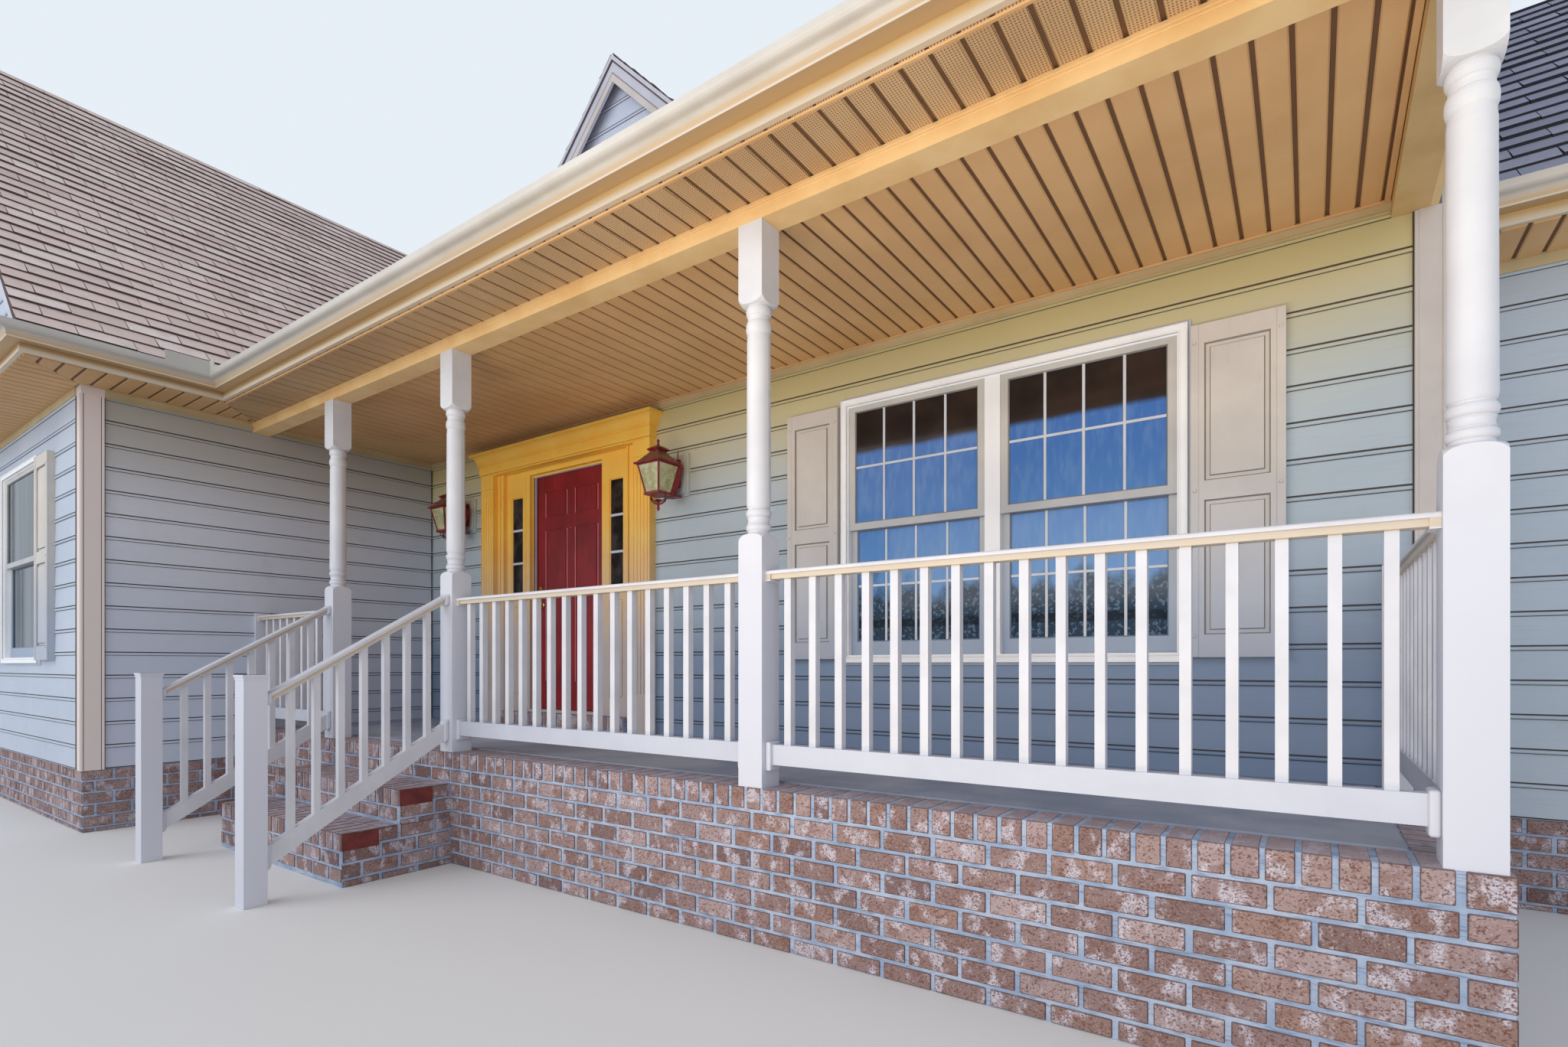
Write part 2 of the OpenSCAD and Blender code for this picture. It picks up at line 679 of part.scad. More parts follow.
// The runs are mitred in the corners, and guards stand on the lip of the inside corner
module gutter() {
  reach = gutter_w + cut;
  x = wing_fascia_x + gutter_w;
  y = fascia_front - gutter_w;
  z = gutter_z + gutter_h;
  color(beige) {
    difference() {
      gutter_run_x(wing_fascia_x, eave_end + gable_t, fascia_front);
      mitre_cut(wing_fascia_x, fascia_front, [[0, 0], [reach, -reach], [-cut, -reach], [-cut, 0]]);
    }
    difference() {
      gutter_run_y(wing_fascia_y - gutter_w, fascia_front);
      mitre_cut(wing_fascia_x, fascia_front, [[0, 0], [reach, -reach], [reach, cut], [0, cut]]);
      mitre_cut(wing_fascia_x, wing_fascia_y, [[-cut, 0], [0, 0], [reach, -reach], [-cut, -reach]]);
    }
    difference() {
      mirror([1, 0, 0]) gutter_run_x(-wing_fascia_x - gutter_w, -party_x, wing_fascia_y);
      mitre_cut(wing_fascia_x, wing_fascia_y, [[0, cut], [0, 0], [reach, -reach], [reach, cut]]);
    }
    gutter_run_x(wall_end, annex_end, annex_front);
  }
  color("silver") {
    block([x - 3, y - splash_l, z], [x, y, z + splash_h]);
    block([x - 3, y, z], [x + splash_l / 3, y + 3, z + splash_h]);
  }
}

// Roofs, which meet in a valley over the inside corner
roof_back_x = wing_fascia_x - (back_y - fascia_front) * porch_slope / wing_slope;
valley_x = wing_fascia_x + drip * porch_slope / wing_slope;
module porch_roof() {
  y0 = fascia_front - drip;
  color("rosybrown") intersection() {
    along_x(roof_back_x, roof_end)
      polygon([[y0, fascia_top], [fascia_front, fascia_top], [back_y, porch_under(back_y)],
        [back_y, roof_top(back_y)], [y0, roof_top(y0)]]);
    linear_extrude(4 * fascia_top)
      polygon([[wing_fascia_x, fascia_front], [valley_x, y0], [roof_end, y0], [roof_end, back_y],
        [roof_back_x, back_y]]);
  }
}
module wing_roof() {
  x1 = wing_fascia_x + drip;
  y0 = wing_fascia_y - drip;
  color("rosybrown") intersection() {
    along_y(y0, back_y)
      polygon([[ridge_x, wing_under(ridge_x)], [wing_fascia_x, fascia_top], [x1, fascia_top],
        [x1, wing_under(x1) + roof_t], [ridge_x, wing_under(ridge_x) + roof_t]]);
    linear_extrude(4 * fascia_top)
      polygon([[wing_fascia_x, fascia_front], [valley_x, fascia_front - drip], [x1, fascia_front - drip],
        [x1, y0], [ridge_x, y0], [ridge_x, back_y], [roof_back_x, back_y]]);
  }
}
// Skirt of roof over the front eave, up to the gable wall and under the wing's roof
function pent_under(y) = fascia_top + pent_slope * (y - wing_fascia_y);
module pent_roof() {
  y0 = wing_fascia_y - drip;
  color("rosybrown") intersection() {
    along_x(party_x, wing_fascia_x)
      polygon([[y0, fascia_top], [wing_fascia_y, fascia_top], [-wing_front, pent_under(-wing_front)],
        [-wing_front, pent_under(-wing_front) + roof_t], [y0, pent_under(y0) + roof_t]]);
    along_y(y0 - cut, -wing_front + cut)
      polygon([[party_x, 0], [wing_fascia_x, 0], [wing_fascia_x, fascia_top - seat],
        [party_x, wing_under(party_x) - seat]]);
  }
}
module annex_roof() {
  y0 = annex_front - drip;
  color("dimgray") along_x(wall_end + 2 * siding_t, annex_end)
    polygon([[y0, fascia_top], [annex_front, fascia_top], [back_y, annex_under(back_y)],
      [back_y, annex_under(back_y) + roof_t], [y0, annex_under(y0) + roof_t]]);
}
// A chevron in the X-Z plane about the dormer's middle, from height low to height high at the peak
module chevron(low, high, half) {
  polygon([[-half, high - dormer_slope * half], [0, high], [half, high - dormer_slope * half],
    [half, low - dormer_slope * half], [0, low], [-half, low - dormer_slope * half]]);
}
dormer_under = dormer_peak - roof_t;
dormer_half = (dormer_peak - roof_top(wall_y - dormer_over)) / dormer_slope;
// Everything up to the top of the main roof, to be cut away from what stands on it
module main_roof_body() {
  along_x(dormer_x - 2 * dormer_half, dormer_x + 2 * dormer_half)
    polygon([[fascia_front, 0], [back_y, 0], [back_y, roof_top(back_y) + seat],
      [fascia_front, roof_top(fascia_front) + seat]]);
}
module dormer_wall() {
  color(siding_color) difference() {
    along_y(wall_y, wall_back) translate([dormer_x, 0])
      polygon([[-dormer_half, dormer_under - seat - dormer_slope * dormer_half], [0, dormer_under - seat],
        [dormer_half, dormer_under - seat - dormer_slope * dormer_half]]);
    main_roof_body();
  }
}
module dormer_roof() {
  color("rosybrown") difference() {
    along_y(wall_y - dormer_over, back_y) translate([dormer_x, 0])
      chevron(dormer_under, dormer_peak, dormer_half);
    main_roof_body();
  }
}
module rake_boards() {
  y0 = wall_y - dormer_over;
  board_z = pent_under(wing_end) + roof_t + 2;
  top = wing_under(ridge_x) - seat;
  color(beige) {
    along_y(wing_fascia_y, wing_end)
      polygon([[wing_fascia_x - (board_z - fascia_top) / wing_slope - seat, board_z], [ridge_x, top],
        [ridge_x, top - rake_h],
        [wing_fascia_x - (board_z - fascia_top + rake_h) / wing_slope - seat, board_z]]);
    difference() {
      along_y(y0 + 8, y0 + 8 + fascia_t) translate([dormer_x, 0])
        chevron(dormer_under - seat - rake_h, dormer_under - seat, dormer_half);
      main_roof_body();
    }
  }
}

module corner_boards() {
  end = wall_end + siding_t;
  wing_face = -wing_front - siding_t;
  color(beige) {
    block([end - corner_w, wall_y - trim_t, slab_top], [end, wall_y, beam_z]);
    block([wall_end, wall_y, slab_top], [end, wall_y + 80, beam_z]);
    block([wall_end, annex_y - trim_t, wing_base_h], [wall_end + trim_t, annex_y, soffit_z]);
    block([wing_x, wing_face, wing_base_h], [wing_x + trim_t, wing_face + wing_corner_w, soffit_z]);
    block([wing_x - 90, wing_face, wing_base_h], [wing_x, -wing_front, soffit_z]);
  }
}

// Entry
leaf_y = wall_back - door_t;
sill_z = slab_top + sill_h;
leaf_z = sill_z + threshold_h + door_gap;
leaf_half = door_w / 2;
frame_in = leaf_half + door_gap;
leaf_head = leaf_z + door_h + door_gap;
entry_head = leaf_head + frame_head_t;
frame_y = wall_back - frame_d;
hinge_x = door_x + leaf_half + 2.5;
hinge_y = wall_back + 12;
hinge_r = 6.5;
hinge_half = 50;
hinge_zs = [leaf_z + 180, leaf_z + door_h / 2, leaf_z + door_h - 180];
// Gap between the two knuckles of a hinge
knuckle_gap = 0.3;
// One half of a hinge: a flap, its knuckle from z0 to z1, and the web between them
module hinge_half_at(side, z, z0, z1) {
  translate([hinge_x, hinge_y, z + z0]) cylinder(r = hinge_r, h = z1 - z0);
  flap = [side * 2.5, side * 45];
  web = [side * 2.5, side * hinge_r];
  block([hinge_x + min(flap), wall_back, z - hinge_half],
    [hinge_x + max(flap), wall_back + 2.5, z + hinge_half]);
  block([hinge_x + min(web), wall_back + 1, z + z0], [hinge_x + max(web), hinge_y, z + z1]);
}
// Symmetric upright in the entry, between two distances from the doorway's centre
module upright(from, to, y0, y1, z0, z1) {
  block([door_x + from, y0, z0], [door_x + to, y1, z1]);
  block([door_x - to, y0, z0], [door_x - from, y1, z1]);
}
module door_sill() {
  color(brick_color)
    block([entry_x0, wall_y - siding_t - sill_out, slab_top], [entry_x1, wall_back, sill_z]);
}
module door_frame() {
  stop_y = leaf_y - door_gap - 30;
  color(cream) {
    block([entry_x0, frame_y, leaf_head], [entry_x1, wall_back, entry_head]);
    block([entry_x0 + outer_jamb_w, frame_y, sill_z],
      [entry_x1 - outer_jamb_w, wall_back, sill_z + threshold_h]);
    upright(entry_half - outer_jamb_w, entry_half, frame_y, wall_back, sill_z, leaf_head);
    upright(frame_in, frame_in + frame_post_w, frame_y, wall_back, sill_z + threshold_h, leaf_head);
    upright(frame_in - stop_t, frame_in, stop_y, stop_y + 30, sill_z + threshold_h, leaf_head);
    block([door_x - frame_in, stop_y, leaf_head - stop_t], [door_x + frame_in, stop_y + 30, leaf_head]);
  }
  color("gold") for (z = hinge_zs) hinge_half_at(1, z, -hinge_half, -knuckle_gap);
}
light_x0 = frame_in + frame_post_w;
light_x1 = entry_half - outer_jamb_w;
light_z0 = sill_z + threshold_h;
light_y = wall_y - light_out;
module sidelights() {
  color(cream) difference() {
    upright(light_x0, light_x1, light_y, light_y + light_t, light_z0, leaf_head);
    upright(light_x0 + light_stile, light_x1 - light_stile, light_y - cut, light_y + light_t + cut,
      light_z0 + light_panel_h, leaf_head - light_top_h);
    // A plain panel is sunk between the stiles below the panes
    upright(light_x0 + light_stile, light_x1 - light_stile, light_y - cut, light_y + 8,
      light_z0 + 120, light_z0 + light_panel_h - 90);
  }
}
// The surround's crown returns round both ends: the same outline is carried both ways
crown_z = entry_head + 19;
crown_h = beam_z - 5 - crown_z;
function crown_outline() = concat(
  [[0, 0], [0, crown_h * 0.42], [8, crown_h * 0.42], [8, crown_h * 0.5]],
  arc(crown_out - 8, crown_h * 0.5, crown_out - 22, crown_h * 0.38, 180, 100, 5),
  [[crown_out, crown_h * 0.88], [crown_out, crown_h]]);
module crown(half, face_y) {
  out = crown_outline();
  intersection() {
    along_x(door_x - half - 200, door_x + half + 200) translate([0, crown_z])
      polygon(concat([[wall_y, 0]], [for (p = out) [face_y - p[0], p[1]]], [[wall_y, crown_h]]));
    along_y(face_y - 200, wall_y) translate([door_x, crown_z])
      polygon(concat([for (p = out) [half + p[0], p[1]]],
        [for (i = [len(out) - 1:-1:0]) [-half - out[i][0], out[i][1]]]));
  }
}
flute_r = 9;
flutes = 5;
module door_surround() {
  casing_y = wall_y - siding_t - 12;
  face = wall_y - siding_t - pilaster_t;
  outer = entry_half + pilaster_w;
  inner = outer - pilaster_face_w;
  cap_z = entry_head - 120;
  color(cream) {
    upright(entry_half, outer, casing_y, wall_y, slab_top, entry_head);
    difference() {
      upright(inner, outer, face, casing_y, slab_top, entry_head);
      for (side = [-1, 1], i = [0:flutes - 1])
        translate([door_x + side * (inner + (i + 0.5) * pilaster_face_w / flutes), face, slab_top + 300])
          cylinder(r = flute_r, h = cap_z - slab_top - 350);
    }
    upright(inner - 12, outer + 12, face - 12, face, slab_top, slab_top + 240);
    upright(inner - 6, outer + 6, face - 6, face, slab_top + 240, slab_top + 262);
    upright(inner - 8, outer + 8, face - 8, face, cap_z, cap_z + 14);
    block([door_x - outer, face, entry_head], [door_x + outer, wall_y, crown_z]);
    crown(outer + 12, face - 12);
  }
}
// Grooves round a raised panel, cut into the leaf from the face at y, into the door by depth
module panel_groove(x0, x1, z0, z1, y, depth) {
  difference() {
    block([x0, min(y, y + depth), z0], [x1, max(y, y + depth), z1]);
    block([x0 + 16, min(y, y + depth) - cut, z0 + 16], [x1 - 16, max(y, y + depth) + cut, z1 - 16]);
  }
}
panel_edge = 125;
panel_mid = 56;
module door_leaf() {
  rows = [[leaf_z + 235, leaf_z + door_h - 480], [leaf_z + door_h - 370, leaf_z + door_h - 150]];
  color("darkred") difference() {
    block([door_x - leaf_half, leaf_y, leaf_z], [door_x + leaf_half, wall_back, leaf_z + door_h]);
    for (row = rows, face = [[leaf_y - cut, 6], [wall_back + cut, -6]]) {
      panel_groove(door_x - leaf_half + panel_edge, door_x - panel_mid, row[0], row[1], face[0], face[1]);
      panel_groove(door_x + panel_mid, door_x + leaf_half - panel_edge, row[0], row[1], face[0], face[1]);
    }
  }
}
// Knob outline from the door's face outwards
module knob_outline() {
  polygon(concat([[0, 0], [32, 0], [32, 4], [26, 9], [11, 11], [11, 26]],
    arc(0, 46, 27, 22, -55, 90, 8)));
}
module door_hardware() {
  knob_x = door_x - leaf_half + 70;
  color("gold") {
    for (z = hinge_zs) hinge_half_at(-1, z, 0, hinge_half);
    translate([knob_x, leaf_y, knob_z]) rotate([90, 0, 0]) rotate_extrude() knob_outline();
    translate([knob_x, wall_back, knob_z]) rotate([-90, 0, 0]) rotate_extrude() knob_outline();
    translate([knob_x, leaf_y, knob_z + 140]) rotate([90, 0, 0]) cylinder(r1 = 28, r2 = 24, h = 18);
  }
}

// Windows: casing and frame, sashes and glass. A unit is [x0, x1, the wall's face]
win_mid = (win_z0 + sash_foot + win_z1 - sash_head) / 2;
win_units = [[win_x0 + window_frame_t, window_x - mullion_w / 2, wall_y],
  [window_x + mullion_w / 2, win_x1 - window_frame_t, wall_y],
  [wing_win_x0 + window_frame_t, wing_win_x1 - window_frame_t, -wing_front]];
// Casing in front of the wall's face y, and the frame that lines the hole from x0 to x1
frame_out = sash_out + 8;
module window_trim(x0, x1, y, units) {
  difference() {
    block([x0 - casing_w, y - casing_t, window_z], [x1 + casing_w, y, window_z + window_h]);
    block([x0, y - casing_t - cut, win_z0], [x1, y + cut, win_z1]);
  }
  difference() {
    block([x0, y - frame_out, win_z0], [x1, y + wall_t, win_z1]);
    for (u = units)
      block([u[0], y - frame_out - cut, win_z0 + window_frame_t],
        [u[1], y + wall_t + cut, win_z1 - window_frame_t]);
  }
}
module window_casings() {
  color(white) {
    window_trim(win_x0, win_x1, wall_y, [win_units[0], win_units[1]]);
    window_trim(wing_win_x0, wing_win_x1, -wing_front, [win_units[2]]);
  }
}
// A sash with bars of heights low and high at its foot and head
module sash(x0, x1, y0, z0, z1, low, high) {
  difference() {
    block([x0, y0, z0], [x1, y0 + sash_t, z1]);
    block([x0 + sash_w, y0 - cut, z0 + low], [x1 - sash_w, y0 + sash_t + cut, z1 - high]);
  }
}
module window_sashes() {
  color(white) for (u = win_units) {
    y = u[2] - sash_out;
    sash(u[0], u[1], y, win_mid - sash_w / 2, win_z1 - window_frame_t, sash_w, sash_head);
    sash(u[0], u[1], y + sash_t, win_z0 + window_frame_t, win_mid + sash_w / 2, sash_foot, sash_w);
  }
}
module pane(x0, x1, y, z0, z1) {
  block([x0, y - glass_t / 2, z0], [x1, y + glass_t / 2, z1]);
}
module glass() {
  color("darkslateblue") {
    for (u = win_units) {
      y = u[2] - sash_out + sash_t / 2;
      x0 = u[0] + sash_w;
      x1 = u[1] - sash_w;
      pane(x0, x1, y, win_mid + sash_w / 2, win_z1 - window_frame_t - sash_head);
      pane(x0, x1, y + sash_t, win_z0 + window_frame_t + sash_foot, win_mid - sash_w / 2);
    }
    upright(light_x0 + light_stile, light_x1 - light_stile, light_y + light_t / 2 - glass_t / 2,
      light_y + light_t / 2 + glass_t / 2, light_z0 + light_panel_h, leaf_head - light_top_h);
  }
}
// A shutter on the wall's face y: a frame with two sunk fields, each with a raised panel
module shutter(x0, y) {
  z0 = window_z + 24;
  z1 = window_z + window_h - 35;
  mid = (z0 + z1) / 2;
  x1 = x0 + shutter_w;
  face = y - siding_t - shutter_t;
  inset = 26;
  rows = [[z0 + 108, mid - 46], [mid + 46, z1 - 92]];
  difference() {
    block([x0, face, z0], [x1, y, z1]);
    for (row = rows)
      block([x0 + shutter_stile, face - cut, row[0]], [x1 - shutter_stile, face + 12, row[1]]);
  }
  for (row = rows)
    block([x0 + shutter_stile + inset, face + 4, row[0] + inset],
      [x1 - shutter_stile - inset, face + 12 + cut, row[1] - inset]);
}
module shutters() {
  reach = window_w / 2 + shutter_gap;
  wing_reach = wing_window_w / 2 + wing_shutter_gap;
  color(beige) {
    shutter(window_x - reach - shutter_w, wall_y);
    shutter(window_x + reach, wall_y);
    shutter(wing_window_x - wing_reach - shutter_w, -wing_front);
    shutter(wing_window_x + wing_reach, -wing_front);
  }
}

// Lanterns: a tapering glazed body between corner bars, under a pyramid roof with a bell
// and a spike, held by an arm from a plate and a stepped block on the wall
lantern_body_h = 208;
lantern_roof_h = 96;
lantern_bell_h = 56;
// A square tower that narrows from half width a to half width b
module square_taper(z, a, b, h) {
  translate([0, 0, z]) rotate([0, 0, 45]) cylinder(r1 = a * sqrt(2), r2 = b * sqrt(2), h = h, $fn = 4);
}
module lantern(x) {
  half = lantern_w / 2;
  y = wall_y - lantern_out;
  z = lantern_z + 22;
  low = z - lantern_body_h;
  bell = z + lantern_roof_h;
  block([x - 95, wall_y - 34, lantern_z - 170], [x + 95, wall_y, lantern_z + 140]);
  block([x - 78, wall_y - 50, lantern_z - 150], [x + 78, wall_y - 34, lantern_z + 122]);
  block([x - 38, wall_y - 62, lantern_z - 110], [x + 38, wall_y - 50, lantern_z + 96]);
  block([x - 9, y, bell - 48], [x + 9, wall_y - 62, bell - 30]);
  translate([x, y, 0]) {
    square_taper(z, half, 34, lantern_roof_h);
    block([-half - 2, -half - 2, z - 10], [half + 2, half + 2, z + cut]);
    difference() {
      square_taper(low, half * 0.55, half * 0.88, lantern_body_h);
      for (a = [0, 90]) rotate([0, 0, a]) translate([0, -half, low + 12]) linear_extrude(lantern_body_h - 24)
        polygon([[-half * 0.45, half * 0.2 - 40], [half * 0.45, half * 0.2 - 40],
          [half * 0.45, half * 0.2], [-half * 0.45, half * 0.2]]);
    }
    block([-half * 0.6, -half * 0.6, low - 8], [half * 0.6, half * 0.6, low]);
    rotate_extrude() polygon(concat([[0, bell - 6], [30, bell - 6]], arc(0, bell, 30, 24, 0, 60, 4),
      [[14, bell + 34], [22, bell + 44], [14, bell + lantern_bell_h], [6, bell + lantern_bell_h + 8],
        [4, bell + lantern_bell_h + 24], [0, bell + lantern_bell_h + 36]]));
    rotate_extrude() polygon([[0, low - 4], [30, low - 4], [12, low - 70], [9, low - 86], [13, low - 98],
      [8, low - 112], [0, low - 124]]);
  }
}
module lanterns() {
  color("maroon") for (side = [-1, 1]) lantern(door_x + side * lantern_x);
}

front_base();
side_base();
floor_slab();
lower_step();
upper_step();
foundation();
wall_left();
wall_over_door();
wall_right();
wing_wall();
wing_front_wall();
annex_wall();
party_walls();
posts();
level_railings();
stair_railings();
newels();
half_posts();
front_beam();
side_beam();
gable_board();
ceiling();
friezes();
soffit();
fascia();
gutter();
porch_roof();
wing_roof();
pent_roof();
annex_roof();
dormer_wall();
dormer_roof();
rake_boards();
corner_boards();
door_sill();
door_frame();
sidelights();
door_surround();
door_leaf();
door_hardware();
window_casings();
window_sashes();
glass();
shutters();
lanterns();
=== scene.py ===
"""Front porch of a sided house: bricks, siding, shingles, boards, finishes, light and camera."""

import math
import random

import bmesh
import bpy
from mathutils import Matrix, Vector

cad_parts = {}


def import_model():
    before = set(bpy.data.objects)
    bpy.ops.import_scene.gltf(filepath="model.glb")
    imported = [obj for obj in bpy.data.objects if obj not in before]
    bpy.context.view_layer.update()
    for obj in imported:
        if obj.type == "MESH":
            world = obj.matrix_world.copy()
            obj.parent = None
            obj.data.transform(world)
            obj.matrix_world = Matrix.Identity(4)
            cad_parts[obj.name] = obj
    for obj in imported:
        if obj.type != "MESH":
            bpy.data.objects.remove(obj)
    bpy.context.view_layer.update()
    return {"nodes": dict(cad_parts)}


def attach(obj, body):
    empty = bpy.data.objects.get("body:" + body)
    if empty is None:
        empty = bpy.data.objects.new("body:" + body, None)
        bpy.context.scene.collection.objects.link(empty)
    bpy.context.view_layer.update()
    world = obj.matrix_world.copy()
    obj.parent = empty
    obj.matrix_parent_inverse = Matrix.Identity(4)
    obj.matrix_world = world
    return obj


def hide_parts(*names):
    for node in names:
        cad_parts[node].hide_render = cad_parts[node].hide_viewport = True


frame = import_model()
scene = bpy.context.scene

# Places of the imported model, in metres
FLOOR_Z = 0.672
BRICK_TOP = 0.665
FOOT_TOP = 0.441
WALL_Y = 1.494
WALL_END = 5.512
BACK_Y = 4.100
WING_X = -2.084
WING_Y = -1.111
PARTY_X = -5.184
RIDGE_X = -5.068
ANNEX_Y = 2.454
ANNEX_END = 7.000
BASE_Y = -0.0695
BASE_END = 5.4835
STEP_HALF = 0.8165
TREAD = 0.313
EAVE_Y = -0.411
WING_EAVE_X = -1.650
WING_EAVE_Y = -1.505
ANNEX_EAVE_Y = 2.040
FASCIA_TOP = 3.342
SOFFIT_Z = 3.186
BEAM_Z = 3.105
FRIEZE_LOW = 3.120
CEILING_END = 5.3455
EAVE_END = 5.4725
ROOF_T = 0.045
ROOF_TOP = FASCIA_TOP + ROOF_T
PORCH_SLOPE = 0.6667
DRIP = 0.019
DORMER_X = 0.612
DORMER_FRONT = WALL_Y - 0.104
DORMER_PEAK = 5.934
DORMER_WALL_PEAK = 5.889
# Windows: centre, half width over the casing, and the wall's face
WINDOWS = ((3.605, 0.972, WALL_Y), (-3.809, 0.624, WING_Y))
CASING = 0.040
FRAME = 0.008
SASH = 0.042
SASH_HEAD = 0.030
SASH_FOOT = 0.084
MULLION = 0.088
WIN_LOW = 1.207
WIN_HIGH = 2.855
SHUTTER_W = 0.382
SHUTTER_GAPS = (0.014, 0.038)
# Doorway: half widths of the opening and of the surround's opening, and the leaf
DOOR_X = -0.082
OPENING = 0.464
SURROUND = 0.787
LEAF_Z = 0.815
LEAF_H = 2.032
LEAF_HEAD = LEAF_Z + LEAF_H + 0.007
LIGHT_Y = 1.490
LEAF_Y = 1.566
STOP_Y = 1.529
LANTERN_X = 1.330
NEWEL_X = 0.753
POST_HALF = 0.0635
STAIR_SLOPE = 0.595


# Shader building

def srgb(color):
    """Three 0 to 255 values as a linear colour. Links and linear colours pass unchanged."""
    if isinstance(color, Value) or len(color) == 4:
        return color
    parts = (c / 255 for c in color)
    return tuple(c / 12.92 if c <= 0.04045 else ((c + 0.055) / 1.055) ** 2.4 for c in parts) + (1.0,)


def shade(color, factor):
    """A colour with its linear parts multiplied by a factor."""
    return tuple(factor * c for c in srgb(color)[:3]) + (1.0,)


class Value:
    """A socket of a shader. Arithmetic on it adds Math nodes."""

    def __init__(self, paint, socket):
        self.paint = paint
        self.socket = socket

    def math(self, operation, first, second):
        return self.paint.node("Math", {"operation": operation}, {0: first, 1: second})

    def __add__(self, other):
        return self.math("ADD", self, other)

    __radd__ = __add__

    def __sub__(self, other):
        return self.math("SUBTRACT", self, other)

    def __rsub__(self, other):
        return self.math("SUBTRACT", other, self)

    def __mul__(self, other):
        return self.math("MULTIPLY", self, other)

    __rmul__ = __mul__

    def __truediv__(self, other):
        return self.math("DIVIDE", self, other)

    def __gt__(self, other):
        return self.math("GREATER_THAN", self, other)

    def __lt__(self, other):
        return self.math("LESS_THAN", self, other)


class Paint:
    """A procedural finish: a material, its Principled shader and the colour built up so far."""

    def __init__(self, name, **sockets):
        self.material = bpy.data.materials.new(name)
        self.material.use_nodes = True
        self.tree = self.material.node_tree
        self.shader = self.tree.nodes["Principled BSDF"]
        for key, value in sockets.items():
            self.shader.inputs[key.replace("_", " ")].default_value = value
        self.place = self.node("TexCoord", {}, {}, "Object")
        self.x, self.y, self.z = self.parts(self.place)
        self.body = None

    def node(self, kind, settings, sockets, out=0):
        """Any shader node: its type, its settings, then the values or links of its sockets."""
        new = self.tree.nodes.new("ShaderNode" + kind)
        for key, value in settings.items():
            if key == "stops":
                ramp = new.color_ramp
                while len(ramp.elements) < len(value):
                    ramp.elements.new(0.5)
                for element, (position, color) in zip(ramp.elements, value):
                    element.position = position
                    element.color = color
            else:
                setattr(new, key, value)
        for key, value in sockets.items():
            if isinstance(value, Value):
                self.tree.links.new(value.socket, new.inputs[key])
            else:
                new.inputs[key].default_value = value
        return Value(self, new.outputs[out])

    def parts(self, vector):
        """The X, Y and Z of a vector."""
        outputs = self.node("SeparateXYZ", {}, {0: vector}).socket.node.outputs
        return [Value(self, output) for output in outputs]

    def facing(self):
        """The X, Y and Z of the surface's own normal."""
        return self.parts(self.node("NewGeometry", {}, {}, "Normal"))

    def noise(self, scale, detail=3.0, stretch=None):
        """Noise on the object's coordinates, which may be multiplied by a factor on each axis."""
        where = self.place
        if stretch:
            where = self.node("VectorMath", {"operation": "MULTIPLY"}, {0: where, 1: stretch})
        return self.node("TexNoise", {}, {"Vector": where, "Scale": scale, "Detail": detail, "Roughness": 0.55})

    def shape(self, value, low, high):
        """Maps low..high smoothly to 0..1."""
        return self.node("MapRange", {"interpolation_type": "SMOOTHSTEP"}, {0: value, 1: low, 2: high})

    def mix(self, factor, first, second):
        """Blends two colours."""
        return self.node("Mix", {"data_type": "RGBA"}, {0: factor, 6: srgb(first), 7: srgb(second)}, 2)

    def clouds(self, scale, detail, light, dark, low=0.3, high=0.7):
        """Starts the colour with soft patches of two tones, and returns their noise."""
        cloud = self.noise(scale, detail)
        self.body = self.mix(self.shape(cloud, low, high), light, dark)
        return cloud

    def tones(self, colors):
        """Starts the colour with a tone that differs from one loose piece of the mesh to the next."""
        stops = [(i / (len(colors) - 1), srgb(color)) for i, color in enumerate(colors)]
        each = self.node("NewGeometry", {}, {}, "Random Per Island")
        self.body = self.node("ValToRGB", {"stops": stops}, {0: each})

    def lay(self, factor, color):
        """Lays a colour over the one so far."""
        self.body = self.mix(factor, self.body, color)

    def over(self, value, low, high, color, amount=1.0):
        """Lays a colour on where a value passes from low to high."""
        self.lay(self.shape(value, low, high) * amount, color)

    def done(self, rough=None, bump=None):
        """Feeds the colour, the roughness and the bump (height, strength, distance)."""
        feeds = {"Base Color": self.body}
        if rough:
            feeds["Roughness"] = rough
        if bump:
            feeds["Normal"] = self.node("Bump", {}, dict(zip(("Height", "Strength", "Distance"), bump)))
        for name, value in feeds.items():
            self.tree.links.new(value.socket, self.shader.inputs[name])
        return self.material


# Finishes

def brick_paint():
    """Face brick in pinkish tan to brown, rough and granular, with whitish bloom and dark pits, painted skylight on its
    tops and painted shade on its bevelled edges.
    """
    p = Paint("face_brick", Roughness=0.92)
    p.tones(((132, 106, 102), (164, 140, 138), (142, 116, 112), (176, 156, 156), (156, 126, 116), (120, 98, 98)))
    p.over(p.noise(11, 5, (1, 1, 1.5)), 0.52, 0.66, (128, 90, 78), 0.6)
    bloom = p.shape(p.noise(13, 5, (1.1, 1.1, 0.8)), 0.5, 0.62)
    grains = p.noise(210, 3)
    p.lay(bloom * p.shape(grains, 0.36, 0.52) * 0.85, (208, 204, 216))
    pits = p.noise(130, 5, (1, 1, 1.3))
    p.over(pits, 0.52, 0.62, (104, 62, 50), 0.8)
    p.over(grains, 0.58, 0.7, (220, 194, 184), 0.5)
    nx, ny, nz = p.facing()
    # painted light: faces that look up, the bricks' tops, are lightened to a pale lilac as skylight
    p.over(nz, 0.6, 0.9, (186, 174, 184), 0.5)
    # painted shade: the bevelled edges, facing neither straight out nor straight up, are darkened as the shade along
    # the joints
    p.over(nx * nx * nx * nx + ny * ny * ny * ny + nz * nz * nz * nz, 0.9, 0.7, (74, 66, 72), 0.7)
    return p.done(bump=(grains * 0.6 - pits, 0.7, 0.004))


